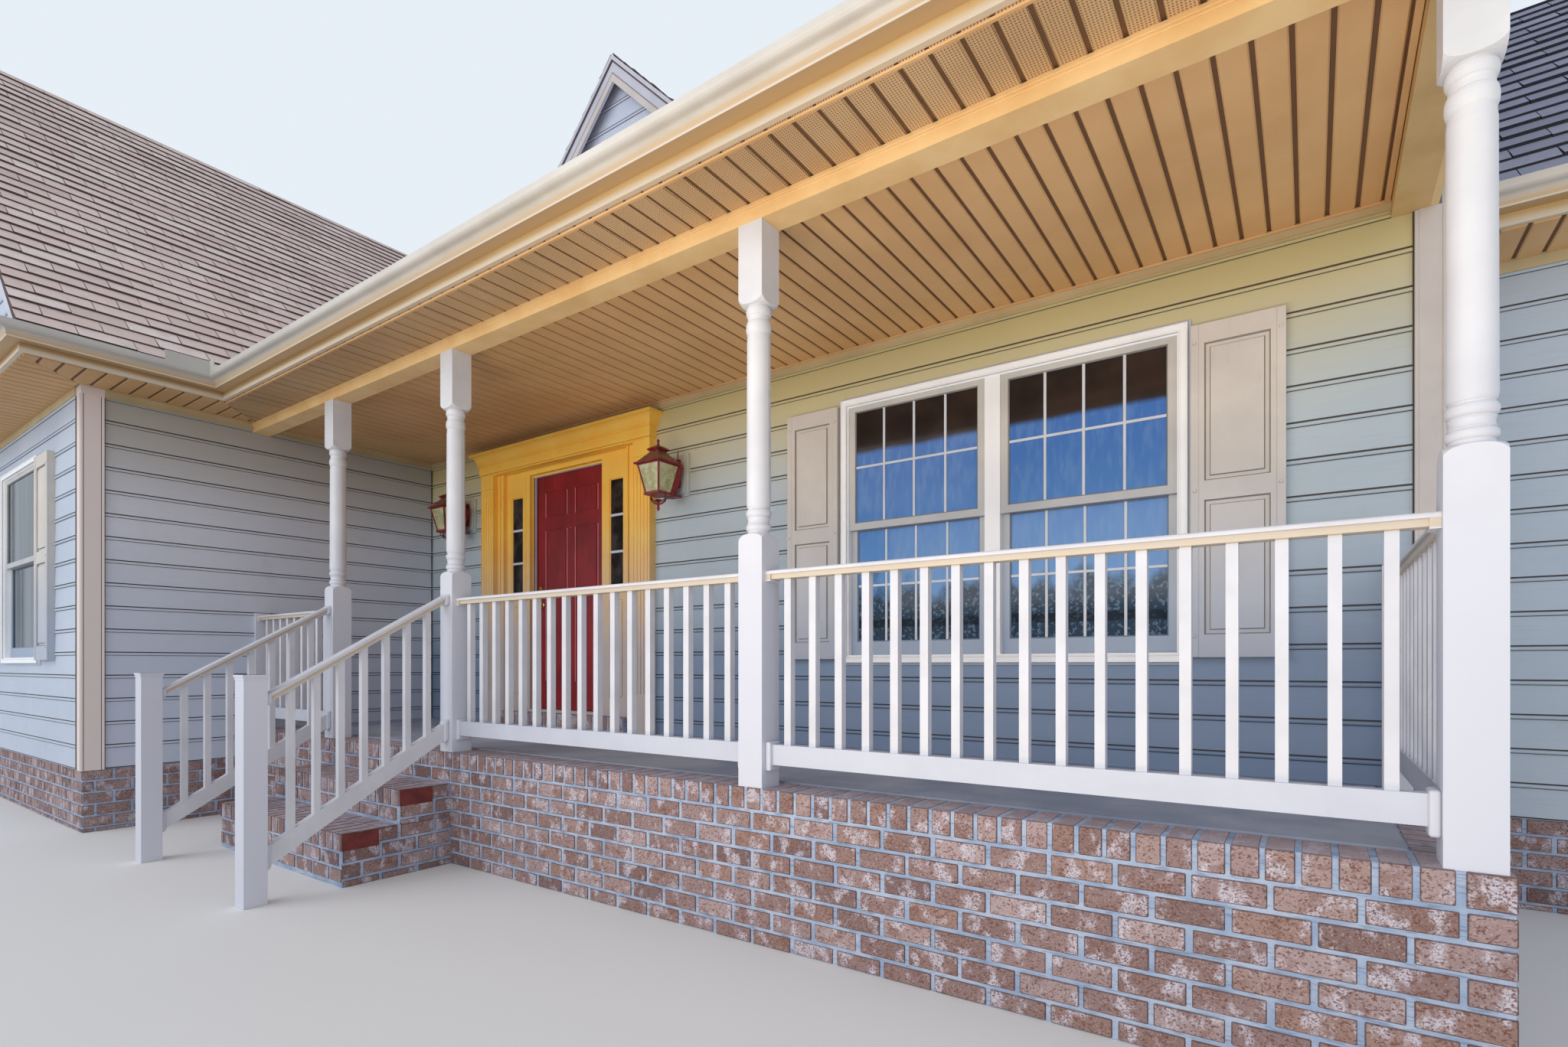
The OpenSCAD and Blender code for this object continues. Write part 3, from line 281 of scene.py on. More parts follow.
def end_brick_paint():
    """Plain dark red brick, where the steps' edge bricks show their flat sides."""
    p = Paint("end_brick", Roughness=0.9)
    p.clouds(16, 4, (120, 54, 48), (100, 42, 40), 0.35)
    grit = p.noise(300, 3)
    p.over(grit, 0.56, 0.7, (76, 30, 30), 0.5)
    return p.done(bump=(grit, 0.4, 0.002))


def mortar_paint():
    """Pale blue-grey mortar with a sandy face and tooled streaks."""
    p = Paint("mortar", Roughness=0.95)
    p.clouds(9, 4, (150, 168, 196), (180, 192, 212), 0.35, 0.65)
    grit = p.noise(500, 2)
    streak = p.noise(120, 3, (0.15, 0.15, 1))
    p.over(streak, 0.52, 0.66, (92, 108, 130), 0.45)
    p.over(grit, 0.55, 0.7, (120, 126, 136), 0.3)
    return p.done(bump=(grit + streak, 0.5, 0.002))


def concrete_paint():
    """Trowelled concrete, cool grey with faint clouds and specks."""
    p = Paint("trowelled_concrete", Roughness=0.7)
    cloud = p.clouds(2.2, 6, (146, 158, 182), (176, 186, 202), 0.35, 0.65)
    speck = p.noise(160, 3)
    p.over(speck, 0.6, 0.7, (112, 120, 138), 0.3)
    return p.done(0.55 + 0.3 * cloud, (speck * 0.6 + cloud, 0.25, 0.003))


def siding_paint(name, light, dark, painted_bounce=0.0, painted_bounce_color=(208, 188, 112), foot=(106, 129, 164)):
    """Blue-grey moulded siding with a light wood-grain emboss. Under the porch it has painted bounce light in the
    ceiling's colour towards the top, and painted shade, cooler and darker, towards the floor."""
    p = Paint(name, Roughness=0.55)
    cloud = p.clouds(0.9, 4, light, dark)
    grain = p.noise(60, 4, (0.12, 0.12, 2.2))
    p.over(grain, 0.5, 0.75, (158, 164, 178), 0.16)
    p.over(p.noise(5, 5), 0.6, 0.8, (150, 150, 150), 0.18)
    # painted bounce light in the ceiling's colour towards the top, and painted shade, cooler and darker, towards the
    # floor
    if painted_bounce:
        p.over(p.z + 0.2 * cloud, 2.3, 3.2, painted_bounce_color, painted_bounce)
        p.over(p.z, 2.3, 1.0, foot, 0.8)
    return p.done(0.48 + 0.2 * grain, (grain, 0.25, 0.0012))


def mottled_paint(name, roughness, scale, light, dark):
    """A plain matte colour with faint clouds."""
    p = Paint(name, Roughness=roughness)
    p.body = p.mix(p.noise(scale), light, dark)
    return p.done()


def groove_paint(name, color):
    """The shadowed bottom of a groove or gap."""
    return mottled_paint(name, 0.7, 30, color, shade(color, 0.75))


def painted_wood(name, light, dark, grain=1.0, sheen=0.42, foot=None):
    """Brushed paint over wood: faint strokes, soft soiling and small dents, and painted shade that turns it to a foot
    colour lower down, where one is given."""
    p = Paint(name, Roughness=sheen)
    p.clouds(3.5, 5, light, dark, 0.35)
    strokes = p.noise(90 * grain, 4, (1, 1, 0.08))
    dust = p.noise(38, 5)
    p.over(dust, 0.62, 0.8, (168, 160, 152), 0.10)
    # painted shade: lower down, the colour turns to the foot colour, from 2.55 m down to 1.15 m
    if foot:
        p.over(p.z, 2.55, 1.15, foot, 0.92)
    return p.done(sheen - 0.08 + 0.22 * strokes, (strokes * 0.6 + dust * 0.4, 0.22, 0.0012))


def moulded_trim(name, light, dark, roughness=0.5, foot=None, painted_wing_light=None):
    """Moulded or coil-coated trim with a fine leather grain; where given, painted shade makes it cooler towards its
    foot and painted light makes it paler towards the wing."""
    p = Paint(name, Roughness=roughness)
    p.clouds(2.6, 4, light, dark)
    grain = p.noise(240, 2)
    p.over(p.noise(30, 4, (1, 1, 0.15)), 0.6, 0.78, (140, 130, 118), 0.1)
    # painted shade: cooler lower down
    if foot:
        p.over(p.z, 2.3, 1.3, foot, 0.75)
    # painted light: paler towards the wing on the left
    if painted_wing_light:
        p.over(p.x, 0.0, -1.5, painted_wing_light)
    return p.done(roughness - 0.06 + 0.14 * grain, (grain, 0.12, 0.0008))


def gutter_paint():
    """Coil-coated gutter, pale at the lip, with painted shade: greyer towards the far left and tan where its mouldings
    turn under, and a painted highlight along a crease.
    """
    p = Paint("almond_gutter", Roughness=0.36)
    p.clouds(2.6, 4, (218, 212, 202), (204, 196, 184))
    grain = p.noise(240, 2)
    # painted shade: greyer towards the far left
    p.over(p.x, 1.5, -2.0, (186, 182, 174), 0.7)
    # painted shade: tan below the crease, where the moulding turns under, and on the underside
    p.over(p.z, 3.292, 3.262, (202, 172, 132))
    p.over(p.z, 3.2460, 3.2454, (192, 158, 114))
    # painted highlight: a bright band along the crease
    p.lay(p.shape(p.z, 3.2456, 3.2462) * p.shape(p.z, 3.2545, 3.2525), (212, 202, 188))
    return p.done(0.3 + 0.14 * grain, (grain, 0.1, 0.0006))


def fascia_paint():
    """Almond sheet, darker and more yellow-brown than the almond trim as painted shade under the gutter, darker still
    towards the far left as painted shade, and pale along its lower edge.
    """
    p = Paint("almond_fascia", Roughness=0.48)
    cloud = p.clouds(2.6, 4, (212, 178, 122), (200, 166, 110))
    grain = p.noise(240, 2)
    # painted shade: darker towards the far left
    p.over(p.x, 3.2, -0.5, (160, 128, 84), 0.8)
    p.over(p.z + 0.01 * cloud, 3.236, 3.206, (216, 200, 176))
    return p.done(0.42 + 0.14 * grain, (grain, 0.1, 0.0006))


HOLE_PITCH = 0.011


def panel_paint(name, light, dark, vented=False):
    """Tan eave panels with a matte grain, darker towards the left as painted shade; vented ones have rows of small
    round holes.
    """
    p = Paint(name, Roughness=0.6)
    p.clouds(1.6, 4, light, dark)
    grain = p.noise(320, 2)
    p.over(grain, 0.5, 0.75, (130, 98, 66), 0.12)
    # painted shade: darker towards the left
    p.over(p.x, 2.5, -1.5, (134, 102, 68), 0.3)
    height = grain * 0.3
    if vented:
        across, along = [p.node("Math", {"operation": "FRACT"}, {0: axis / HOLE_PITCH}) - 0.5 for axis in (p.x, p.y)]
        hole = p.shape(across * across + along * along, 0.09, 0.05)
        p.lay(hole * 0.8, (92, 66, 42))
        height = height - hole
    return p.done(bump=(height, 0.3, 0.0012))


def shingle_paint(name, tones, fleck):
    """Mineral granules in mixed tones, each tab a little different, with painted shade darkening the faces that turn
    away from the sky, the tabs' lower edges.
    """
    p = Paint(name, Roughness=0.95)
    p.tones(tones)
    grit = p.noise(650, 2)
    dark = shade(tones[0], 0.12)
    p.over(p.noise(8, 4), 0.45, 0.7, tones[0], 0.45)
    p.over(grit, 0.5, 0.66, fleck, 0.5)
    p.over(p.noise(520, 2), 0.56, 0.7, dark, 0.35)
    # painted shade: faces that turn away from the sky, the tabs' butts, are darkened
    p.over(p.facing()[2], 0.30, 0.10, dark)
    return p.done(bump=(grit, 0.8, 0.002))


def window_glass_paint():
    """Dark panes with painted reflections: pale blue, deeper higher up, over a dark mottled foot, with the dark band of
    a rail and the porch ceiling's brown at the top; painted shade for the dim hall beside the door; and curtain pleats
    in the wing, painted with their light and shade."""
    p = Paint("window_panes", Roughness=0.05, IOR=1.25)
    wave = p.noise(2.4, 2)
    reflection_mottle = p.noise(6, 6, (1, 1, 0.8))
    height = p.z + 0.04 * wave
    # painted reflection: blue, deeper higher up, with paler streaks
    p.body = p.mix(p.shape(height, 1.6, 2.6), (100, 150, 206), (70, 116, 188))
    p.over(p.noise(28, 2, (1, 1, 0.25)), 0.4, 0.7, (132, 168, 206), 0.25)
    # painted reflection: a dark mottled foot with paler flecks
    foot = p.shape(height + 0.55 * reflection_mottle, 2.02, 1.88)
    p.lay(foot * 0.9, (36, 44, 50))
    p.lay(foot * p.shape(p.noise(60, 5), 0.54, 0.62) * 0.7, (112, 138, 160))
    # painted reflection: the dark band of a rail
    p.lay(p.shape(height, 1.50, 1.49) * p.shape(height, 1.44, 1.45) * 0.7, (26, 28, 32))
    # painted reflection: the porch ceiling's brown at the top
    p.over(height, 2.52, 2.56, p.mix(p.shape(p.noise(3, 3), 0.35, 0.65), (58, 46, 40), (42, 35, 33)))
    # painted shade: the dim hall seen through the panes beside the door
    p.over(p.x * p.x, 1.3, 1.1, p.mix(p.shape(reflection_mottle, 0.4, 0.6), (30, 26, 26), (70, 62, 60)))
    # curtain pleats behind the wing's panes, painted with their light and shade
    painted_curtain_folds = p.shape(p.noise(9, 2, (1, 1, 0.04)), 0.42, 0.6)
    p.over(p.x, -2.4, -2.6, p.mix(painted_curtain_folds, (34, 48, 58), (62, 82, 96)))
    return p.done(0.04 + 0.05 * wave)


def door_paint():
    """Dark red gloss paint on embossed steel, with faint streaks and dust."""
    p = Paint("door_red_gloss", Roughness=0.3, Coat_Weight=0.35, Coat_Roughness=0.12)
    p.clouds(2.5, 4, (150, 22, 30), (120, 14, 24))
    streak = p.noise(26, 4, (1, 1, 0.12))
    p.over(streak, 0.55, 0.75, (176, 60, 60), 0.25)
    return p.done(0.25 + 0.2 * streak, (p.noise(120, 3), 0.08, 0.001))


def metal_paint(name, light, dark, roughness, metallic=1.0):
    """Polished or lacquered metal with cloudy tarnish and fine rubbing marks."""
    p = Paint(name, Roughness=roughness, Metallic=metallic)
    cloud = p.clouds(34, 5, light, dark, 0.35, 0.68)
    return p.done(roughness - 0.05 + 0.2 * cloud, (p.noise(300, 3, (1, 1, 0.2)), 0.08, 0.0006))


def lantern_glass_paint():
    """Seeded glass, opaque here, its yellow-green colour painted light of the day behind it, with paler seeds."""
    p = Paint("seeded_glass", Roughness=0.16)
    p.clouds(14, 3, (204, 202, 160), (168, 164, 116), 0.35, 0.65)
    seeds = p.noise(70, 3)
    p.over(seeds, 0.58, 0.68, (238, 232, 196), 0.6)
    return p.done(bump=(seeds, 0.5, 0.003))


def handrail_paint(name, slope, top):
    """White paint with a tan band of painted shade on the rail's lower body, which follows the rail's slope, and
    painted shade on the level railings' bottom rails.
    """
    p = Paint(name, Roughness=0.4)
    p.clouds(4, 5, (219, 219, 225), (208, 208, 214), 0.35)
    strokes = p.noise(70, 4)
    height = p.z - slope * p.y
    # painted shade: a tan band on the rail's recessed lower body
    p.lay((height > top - 0.041) * (height < top - 0.0165) * 0.8, (206, 188, 160))
    # painted shade: the level railings' bottom rails cooler and darker
    if not slope:
        p.over(p.z, 0.88, 0.86, (184, 191, 208), 0.5)
    p.over(p.noise(30, 5), 0.62, 0.8, (170, 166, 164), 0.12)
    return p.done(0.34 + 0.2 * strokes, (strokes, 0.15, 0.001))


def render_paint():
    """Plain pale render on the walls where the house is cut."""
    p = Paint("plain_render", Roughness=0.9)
    p.clouds(1.5, 5, (198, 195, 189), (190, 187, 181))
    return p.done(bump=(p.noise(180, 3), 0.4, 0.003))


BRICK = brick_paint()
END_BRICK = end_brick_paint()
MORTAR = mortar_paint()
CONCRETE = concrete_paint()
# Copies of one siding, toned for how light falls on each wall: painted shade on the annex, painted light on the dormer
# and more on the wing's side wall, which has its own painted bounce and shade; the porch wall has painted bounce and
# shade.
SIDING = siding_paint("blue_grey_siding", (184, 195, 210), (196, 205, 218))
SHADE_SIDING = siding_paint("shaded_siding", (182, 194, 206), (192, 203, 213))
DORMER_SIDING = siding_paint("dormer_siding", (192, 200, 218), (202, 209, 224))
PORCH_SIDING = siding_paint("porch_siding", (184, 197, 204), (194, 206, 211), 0.8)
CORNER_SIDING = siding_paint("corner_siding", (208, 212, 222), (218, 221, 230), 0.8, (168, 162, 146), (194, 204, 222))
# siding_backing: the walls under the siding are a dark blue-grey so that where they show between the siding's courses
# they read as shade: painted shade
BACKING = mottled_paint("siding_backing", 0.8, 20, (96, 102, 116), (120, 126, 138))
LAP_LINE = groove_paint("lap_shadow_lines", (74, 66, 58))
SHUTTER_LINE = groove_paint("shutter_shadow_lines", (150, 140, 128))
# The foot colours of white_paint, cream_trim_paint and sash_paint are painted shade lower down.
WHITE = painted_wood("white_paint", (228, 227, 228), (217, 216, 218), foot=(209, 211, 222))
CREAM = painted_wood("cream_trim_paint", (255, 206, 88), (255, 192, 74), foot=(188, 180, 182))
BEAM_CREAM = painted_wood("beam_cream_paint", (250, 212, 152), (238, 194, 130), 0.5)
# painted shade: a darker copy of the beam's cream for the side beam
SHADED_BEAM_CREAM = painted_wood("shaded_side_beam_paint", (216, 180, 122), (202, 166, 108), 0.5)
SASH_PAINT = painted_wood("sash_paint", (204, 200, 192), (190, 186, 180), foot=(150, 168, 192))
# painted shade: dark grey beads around each pane stand in for the shade at the step between sash and glass, cooler
# again lower down
SASH_BEAD_SHADE = painted_wood("sash_bead_shade", (140, 138, 138), (124, 122, 124), foot=(104, 122, 148))
WINDOW_WHITE = painted_wood("window_white", (252, 252, 252), (246, 246, 247))
BAR_PAINT = painted_wood("window_bar_paint", (214, 218, 224), (202, 207, 214))
# beige_moulded_trim: paler towards the wing as painted light
TRIM = moulded_trim("beige_moulded_trim", (206, 198, 192), (192, 184, 178), painted_wing_light=(232, 218, 212))
# grey_rake_boards: painted shade, the beige trim toned grey-lavender for the shade the rake boards stand in
RAKE = moulded_trim("grey_rake_boards", (200, 199, 210), (186, 186, 198))
ALMOND = moulded_trim("almond_trim", (240, 208, 152), (226, 192, 134))
# almond_frieze: a darker, yellower copy of the almond trim, painted shade and painted bounce light under the porch
# ceiling
FRIEZE = moulded_trim("almond_frieze", (208, 190, 148), (194, 174, 132))
# shutter_beige: its foot colour is painted shade lower down
SHUTTER = moulded_trim("shutter_beige", (216, 208, 198), (204, 196, 187), 0.48, (164, 176, 196))
GUTTER = gutter_paint()
FASCIA = fascia_paint()
CEILING = panel_paint("ceiling_panels", (232, 186, 130), (218, 170, 114))
VENTED = panel_paint("vented_soffit", (222, 184, 136), (208, 168, 120), True)
GROOVE = groove_paint("panel_grooves", (118, 84, 54))
SHINGLES = shingle_paint("weathered_shingles", ((220, 194, 184), (248, 222, 212), (236, 208, 198), (254, 234, 225),
                                                (224, 198, 187)), (254, 244, 238))
SLATE_BLUE = shingle_paint("dark_shingles", ((146, 146, 164), (172, 173, 192), (158, 159, 178)), (196, 200, 220))
GLASS = window_glass_paint()
DOOR = door_paint()
# door_painted_highlights: painted highlights, pale strips along the door panels' mouldings
DOOR_HIGHLIGHT = painted_wood("door_painted_highlights", (238, 150, 156), (220, 124, 132), 1.0, 0.3)
BRASS = metal_paint("polished_brass", (222, 176, 92), (176, 130, 60), 0.22)
LANTERN_RED = metal_paint("lantern_red_enamel", (150, 38, 38), (96, 22, 26), 0.34, 0.0)
LANTERN_ROOF = metal_paint("lantern_roof_bronze", (146, 112, 84), (112, 66, 52), 0.4, 0.2)
LANTERN_GLASS = lantern_glass_paint()
LEVEL_RAIL = handrail_paint("level_rail_paint", 0.0, 1.600)
STAIR_RAIL = handrail_paint("stair_rail_paint", STAIR_SLOPE, 1.622 + POST_HALF * STAIR_SLOPE)
RENDER = render_paint()
# door_gap_shade: painted shade for the slits around the door
GAP_SHADE = groove_paint("door_gap_shade", (40, 36, 34))

for finish, nodes in {
        MORTAR: "front_base side_base lower_step upper_step foundation door_sill",
        CONCRETE: "floor_slab",
        BACKING: "wall_left wall_over_door wall_right wing_wall wing_front_wall annex_wall dormer_wall",
        RENDER: "party_walls",
        WHITE: "posts newels half_posts",
        LEVEL_RAIL: "level_railings",
        STAIR_RAIL: "stair_railings",
        BEAM_CREAM: "front_beam",
        SHADED_BEAM_CREAM: "side_beam",
        ALMOND: "gable_board",
        GROOVE: "ceiling soffit",
        FRIEZE: "friezes",
        FASCIA: "fascia",
        GUTTER: "gutter",
        SHINGLES: "porch_roof wing_roof pent_roof dormer_roof",
        SLATE_BLUE: "annex_roof",
        RAKE: "rake_boards",
        TRIM: "corner_boards",
        CREAM: "door_frame sidelights door_surround",
        DOOR: "door_leaf",
        BRASS: "door_hardware",
        WINDOW_WHITE: "window_casings",
        SASH_PAINT: "window_sashes",
        GLASS: "glass",
        SHUTTER: "shutters",
        LANTERN_RED: "lanterns"}.items():
    for node in nodes.split():
        mesh = frame["nodes"][node].data
        mesh.materials.clear()
        mesh.materials.append(finish)


# Mesh building

def box(bm, corner, opposite):
    """A block between two opposite corners."""
    low, high = (Vector([pick(pair) for pair in zip(corner, opposite)]) for pick in (min, max))
    place = Matrix.Translation((low + high) / 2) @ Matrix.Diagonal(tuple(high - low) + (1.0,))
    return bmesh.ops.create_cube(bm, size=1.0, matrix=place)["verts"]


def prism(bm, outline, step):
    """A flat outline carried along the vector step, closed at both ends."""
    face = bm.faces.new([bm.verts.new(point) for point in outline])
    grown = bmesh.ops.extrude_face_region(bm, geom=[face])
    verts = [item for item in grown["geom"] if isinstance(item, bmesh.types.BMVert)]
    bmesh.ops.translate(bm, verts=verts, vec=step)


def trim(bm, point, normal):
    """Cuts away the side of a plane that its normal points to, and closes the cut."""
    everything = bm.verts[:] + bm.edges[:] + bm.faces[:]
    bmesh.ops.bisect_plane(bm, geom=everything, dist=1e-6, plane_co=point, plane_no=normal, clear_outer=True)
    bmesh.ops.holes_fill(bm, edges=[edge for edge in bm.edges if edge.is_boundary], sides=0)


def finish_piece(name, bm, finish, slot, bevel=0.0, segments=1, body="house"):
    """Bevels a bmesh's sharp edges and turns it into a piece that rides on a body."""
    if bevel:
        edges = [edge for edge in bm.edges if edge.is_manifold and edge.calc_face_angle() > 0.6]
        bmesh.ops.bevel(bm, geom=edges, offset=bevel, segments=segments, profile=0.5, affect="EDGES", material=-1)
    bmesh.ops.recalc_face_normals(bm, faces=bm.faces)
    mesh = bpy.data.meshes.new(name)
    bm.to_mesh(mesh)
    bm.free()
    mesh.materials.append(finish)
    piece = bpy.data.objects.new(name, mesh)
    scene.collection.objects.link(piece)
    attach(piece, body)
    return piece


def block_piece(name, finish, slot, bevel, blocks, body="house"):
    """A piece made of blocks, each given by two opposite corners."""
    bm = bmesh.new()
    for corner, opposite in blocks:
        box(bm, corner, opposite)
    finish_piece(name, bm, finish, slot, bevel, body=body)


def new_meshes(count):
    return [bmesh.new() for _ in range(count)]


# Bricks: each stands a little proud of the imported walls, whose faces show as mortar

JOINT = 0.012
BRICK_L = 0.196
BRICK_W = 0.092
BRICK_PITCH = BRICK_L + JOINT
COURSE = 0.0833
ROWLOCK = 0.086
CAP_DEPTH = 0.188
CAP_PROUD = 0.0015
CORNER_CAP = 0.10
PROUD = 0.004
NOSING_PROUD = 0.003
RIGHT, LEFT, BACK, FRONT = (1, 0, 0), (-1, 0, 0), (0, 1, 0), (0, -1, 0)
rng = random.Random(7)


def face_at(x, y, along, out):
    """A wall's face: its origin, the way along it and the way out of it."""
    return Vector((x, y, 0)), Vector(along), Vector(out)


def brick_box(bm, face, s0, s1, z0, z1, depth=0.02):
    """A brick on a wall's face, from s0 to s1 along it."""
    origin, along, out = face
    proud = PROUD + rng.uniform(-0.0015, 0.0012)
    slack = 0.004 if s1 - s0 > 0.15 else 0.001
    a = origin + along * (s0 + rng.uniform(0, slack)) + out * proud
    b = origin + along * (s1 - rng.uniform(0, slack)) - out * depth
    box(bm, (a.x, a.y, z0 + rng.uniform(0, 0.0015)), (b.x, b.y, z1))


def courses(top, bottom):
    """The courses from top down to bottom, as (number, low, high)."""
    row, high = 0, top
    while high > bottom + 0.02:
        yield row, max(high - COURSE + JOINT, bottom), high
        high -= COURSE
        row += 1


def lay_course(bm, face, s, length, z0, z1, least):
    """Bricks end to end along a wall from s, those that are longer than least between 0 and length."""
    while s < length:
        s0, s1 = max(s, 0.0), min(s + BRICK_L, length)
        if s1 - s0 > least:
            brick_box(bm, face, s0, s1, z0, z1)
        s += BRICK_PITCH


def bond(bm, face, length, top, bottom, shift=0.0):
    """Running bond from top down to bottom over a length of wall."""
    for row, z0, z1 in courses(top, bottom):
        start = -((row % 2) * 0.5 * BRICK_PITCH + shift) % BRICK_PITCH - BRICK_PITCH
        lay_course(bm, face, start, length, z0, z1, 0.03)


def rowlock(bm, face, length, top, height, depth, cap):
    """Bricks on edge along the top of a wall. cap is how far their tops stand above it."""
    count = max(1, round(length / ROWLOCK))
    pitch = length / count
    for i in range(count):
        brick_box(bm, face, i * pitch + JOINT / 2, (i + 1) * pitch - JOINT / 2, top - height, top + cap, depth)


def porch_bricks():
    """The porch's base: bricks on edge along its top, and courses that lock at its outer corner."""
    bm = bmesh.new()
    front_len, side_len = BASE_END - WING_X, WALL_Y - BASE_Y
    for face, length in ((face_at(WING_X, BASE_Y, RIGHT, FRONT), front_len - CORNER_CAP - JOINT / 2),
                         (face_at(BASE_END, BASE_Y + CAP_DEPTH + JOINT, BACK, RIGHT), side_len - CAP_DEPTH - JOINT)):
        rowlock(bm, face, length, BRICK_TOP, BRICK_W, CAP_DEPTH, CAP_PROUD)
    box(bm, (BASE_END - CORNER_CAP + JOINT / 2, BASE_Y - PROUD, BRICK_TOP - BRICK_W),
        (BASE_END + PROUD, BASE_Y + CAP_DEPTH, BRICK_TOP + CAP_PROUD))
    for row, z0, z1 in courses(BRICK_TOP - BRICK_W - JOINT, 0.0):
        long, short = (BRICK_L, BRICK_W) if row % 2 else (BRICK_W, BRICK_L)
        box(bm, (BASE_END - long, BASE_Y - PROUD, z0), (BASE_END + PROUD, BASE_Y + short, z1))
        lay_course(bm, face_at(BASE_END, BASE_Y, LEFT, FRONT), long + JOINT, front_len, z0, z1, 0.0)
        lay_course(bm, face_at(BASE_END, BASE_Y, BACK, RIGHT), short + JOINT, side_len, z0, z1, 0.0)
    finish_piece("porch_bricks", bm, BRICK, "brick", 0.0035)


def step_bricks():
    """Each step: a nosing of bricks on edge, flat bricks behind it, and courses below on three sides."""
    bm, ends = new_meshes(2)
    width = 2 * STEP_HALF
    count = round(width / BRICK_PITCH)
    pitch = width / count
    for top, low, y0, y1 in ((0.284, 0.0, BASE_Y - 2 * TREAD, BASE_Y - TREAD), (0.479, 0.284, BASE_Y - TREAD, BASE_Y)):
        front = face_at(-STEP_HALF, y0, RIGHT, FRONT)
        rowlock(bm, front, width, top, BRICK_W, BRICK_L, NOSING_PROUD)
        bond(bm, front, width, top - BRICK_W - JOINT, low, 0.05)
        for i in range(count):
            box(bm, (-STEP_HALF + i * pitch + JOINT / 2, y0 + BRICK_PITCH, top - 0.02),
                (-STEP_HALF + (i + 1) * pitch - JOINT / 2, y1 - JOINT / 2, top + NOSING_PROUD))
        for side, out in ((1, RIGHT), (-1, LEFT)):
            bond(bm, face_at(side * STEP_HALF, y0, BACK, out), BASE_Y - y0, top, low, 0.1)
            box(ends, (side * STEP_HALF, y0 - PROUD + 0.001, top - 0.090),
                (side * (STEP_HALF + PROUD + NOSING_PROUD), y0 + 0.194, top + 0.001))
    finish_piece("step_bricks", bm, BRICK, "brick", 0.0035)
    finish_piece("step_end_bricks", ends, END_BRICK, "brick", 0.002)


def wall_bricks():
    """Brickwork of the house's foundations, and the sill of the doorway."""
    bm = bmesh.new()
    for x, y, along, out, length, top, shift in (
            (WING_X, WING_Y, BACK, RIGHT, BASE_Y - WING_Y, FOOT_TOP, 0.03),
            (PARTY_X, WING_Y, RIGHT, FRONT, WING_X - PARTY_X, FOOT_TOP, 0.0),
            (WALL_END, WALL_Y, BACK, RIGHT, ANNEX_Y - WALL_Y, FLOOR_Z, 0.0),
            (WALL_END, ANNEX_Y, RIGHT, FRONT, ANNEX_END - WALL_END - 0.004, FOOT_TOP, 0.0)):
        bond(bm, face_at(x, y, along, out), length, top, 0.0, shift)
    sill = face_at(DOOR_X - SURROUND, WALL_Y - 0.074, RIGHT, FRONT)
    rowlock(bm, sill, 2 * SURROUND, FLOOR_Z + 0.113, 0.109, 0.07, 0.002)
    finish_piece("wall_bricks", bm, BRICK, "brick", 0.003)


# Siding: beaded courses, carried along each wall and cut at openings and slopes

LAP = 0.1677
FIRST_LAP = 0.4265
# Dark strips of painted shade as (low, high, depth out): in the groove over each bead, and under each course's foot
GROOVE_LINE = (0.0190, 0.0252, 0.0078)
FOOT_LINE = (-0.0022, 0.0010, 0.0098)


def lap_outline(z):
    """One course as (distance out from the wall, height): a bead at the foot, then the face."""
    bead = [(0.0075 + 0.0085 * math.cos(a), z + 0.0090 + 0.0090 * math.sin(a))
            for a in [math.radians(d) for d in (-80, -40, 0, 40, 80)]]
    return [(0.0, z + 0.001), (0.005, z)] + bead + [
        (0.0035, z + 0.0195), (0.0035, z + 0.0245), (0.0110, z + 0.026), (0.0065, z + LAP), (0.0, z + LAP)]


def clip_low(outline, low):
    """The part of a course above a height, closed with a flat foot."""
    kept = [point for point in outline if point[1] > low]
    return [(0.0, low), (kept[0][0] if kept[0][0] > 0.002 else 0.0095, low)] + kept


def clip_high(outline, high):
    """The part of a course below a height, closed with a flat head."""
    return [point for point in outline if point[1] < high] + [(0.0095, high), (0.0, high)]


def carry(bm, face, s0, s1, outline):
    """Carries an outline of (distance out, height) along a wall's face from s0 to s1."""
    origin, along, out = face
    prism(bm, [origin + along * s0 + out * d + Vector((0, 0, h)) for d, h in outline], along * (s1 - s0))


def lap_wall(face, z0, z1, length, holes=()):
    """A wall's courses in one mesh, cut at holes given as (s0, s1, low, high), with dark strips of painted shade in
    another: in the groove over each bead and under it."""
    bm, lines = new_meshes(2)
    z = FIRST_LAP + math.floor((z0 - FIRST_LAP) / LAP + 0.02) * LAP
    while z < z1 - 0.01:
        start = 0.0
        pieces = []
        for s0, s1, low, high in holes:
            if z + LAP <= low or z >= high:
                continue
            pieces.append((start, s0, lap_outline(z), True))
            if z < low:
                pieces.append((s0, s1, clip_high(lap_outline(z), low), True))
            if z + LAP > high:
                pieces.append((s0, s1, clip_low(lap_outline(z), max(high, z + 0.03)), False))
            start = s1
        pieces.append((start, length, lap_outline(z), True))
        for s0, s1, outline, has_bead in pieces:
            carry(bm, face, s0, s1, outline)
            for low, high, depth in (GROOVE_LINE, FOOT_LINE) if has_bead else ():
                carry(lines, face, s0, s1, [(0.0, z + low), (depth, z + low), (depth, z + high), (0.0, z + high)])
        z += LAP
    return bm, lines


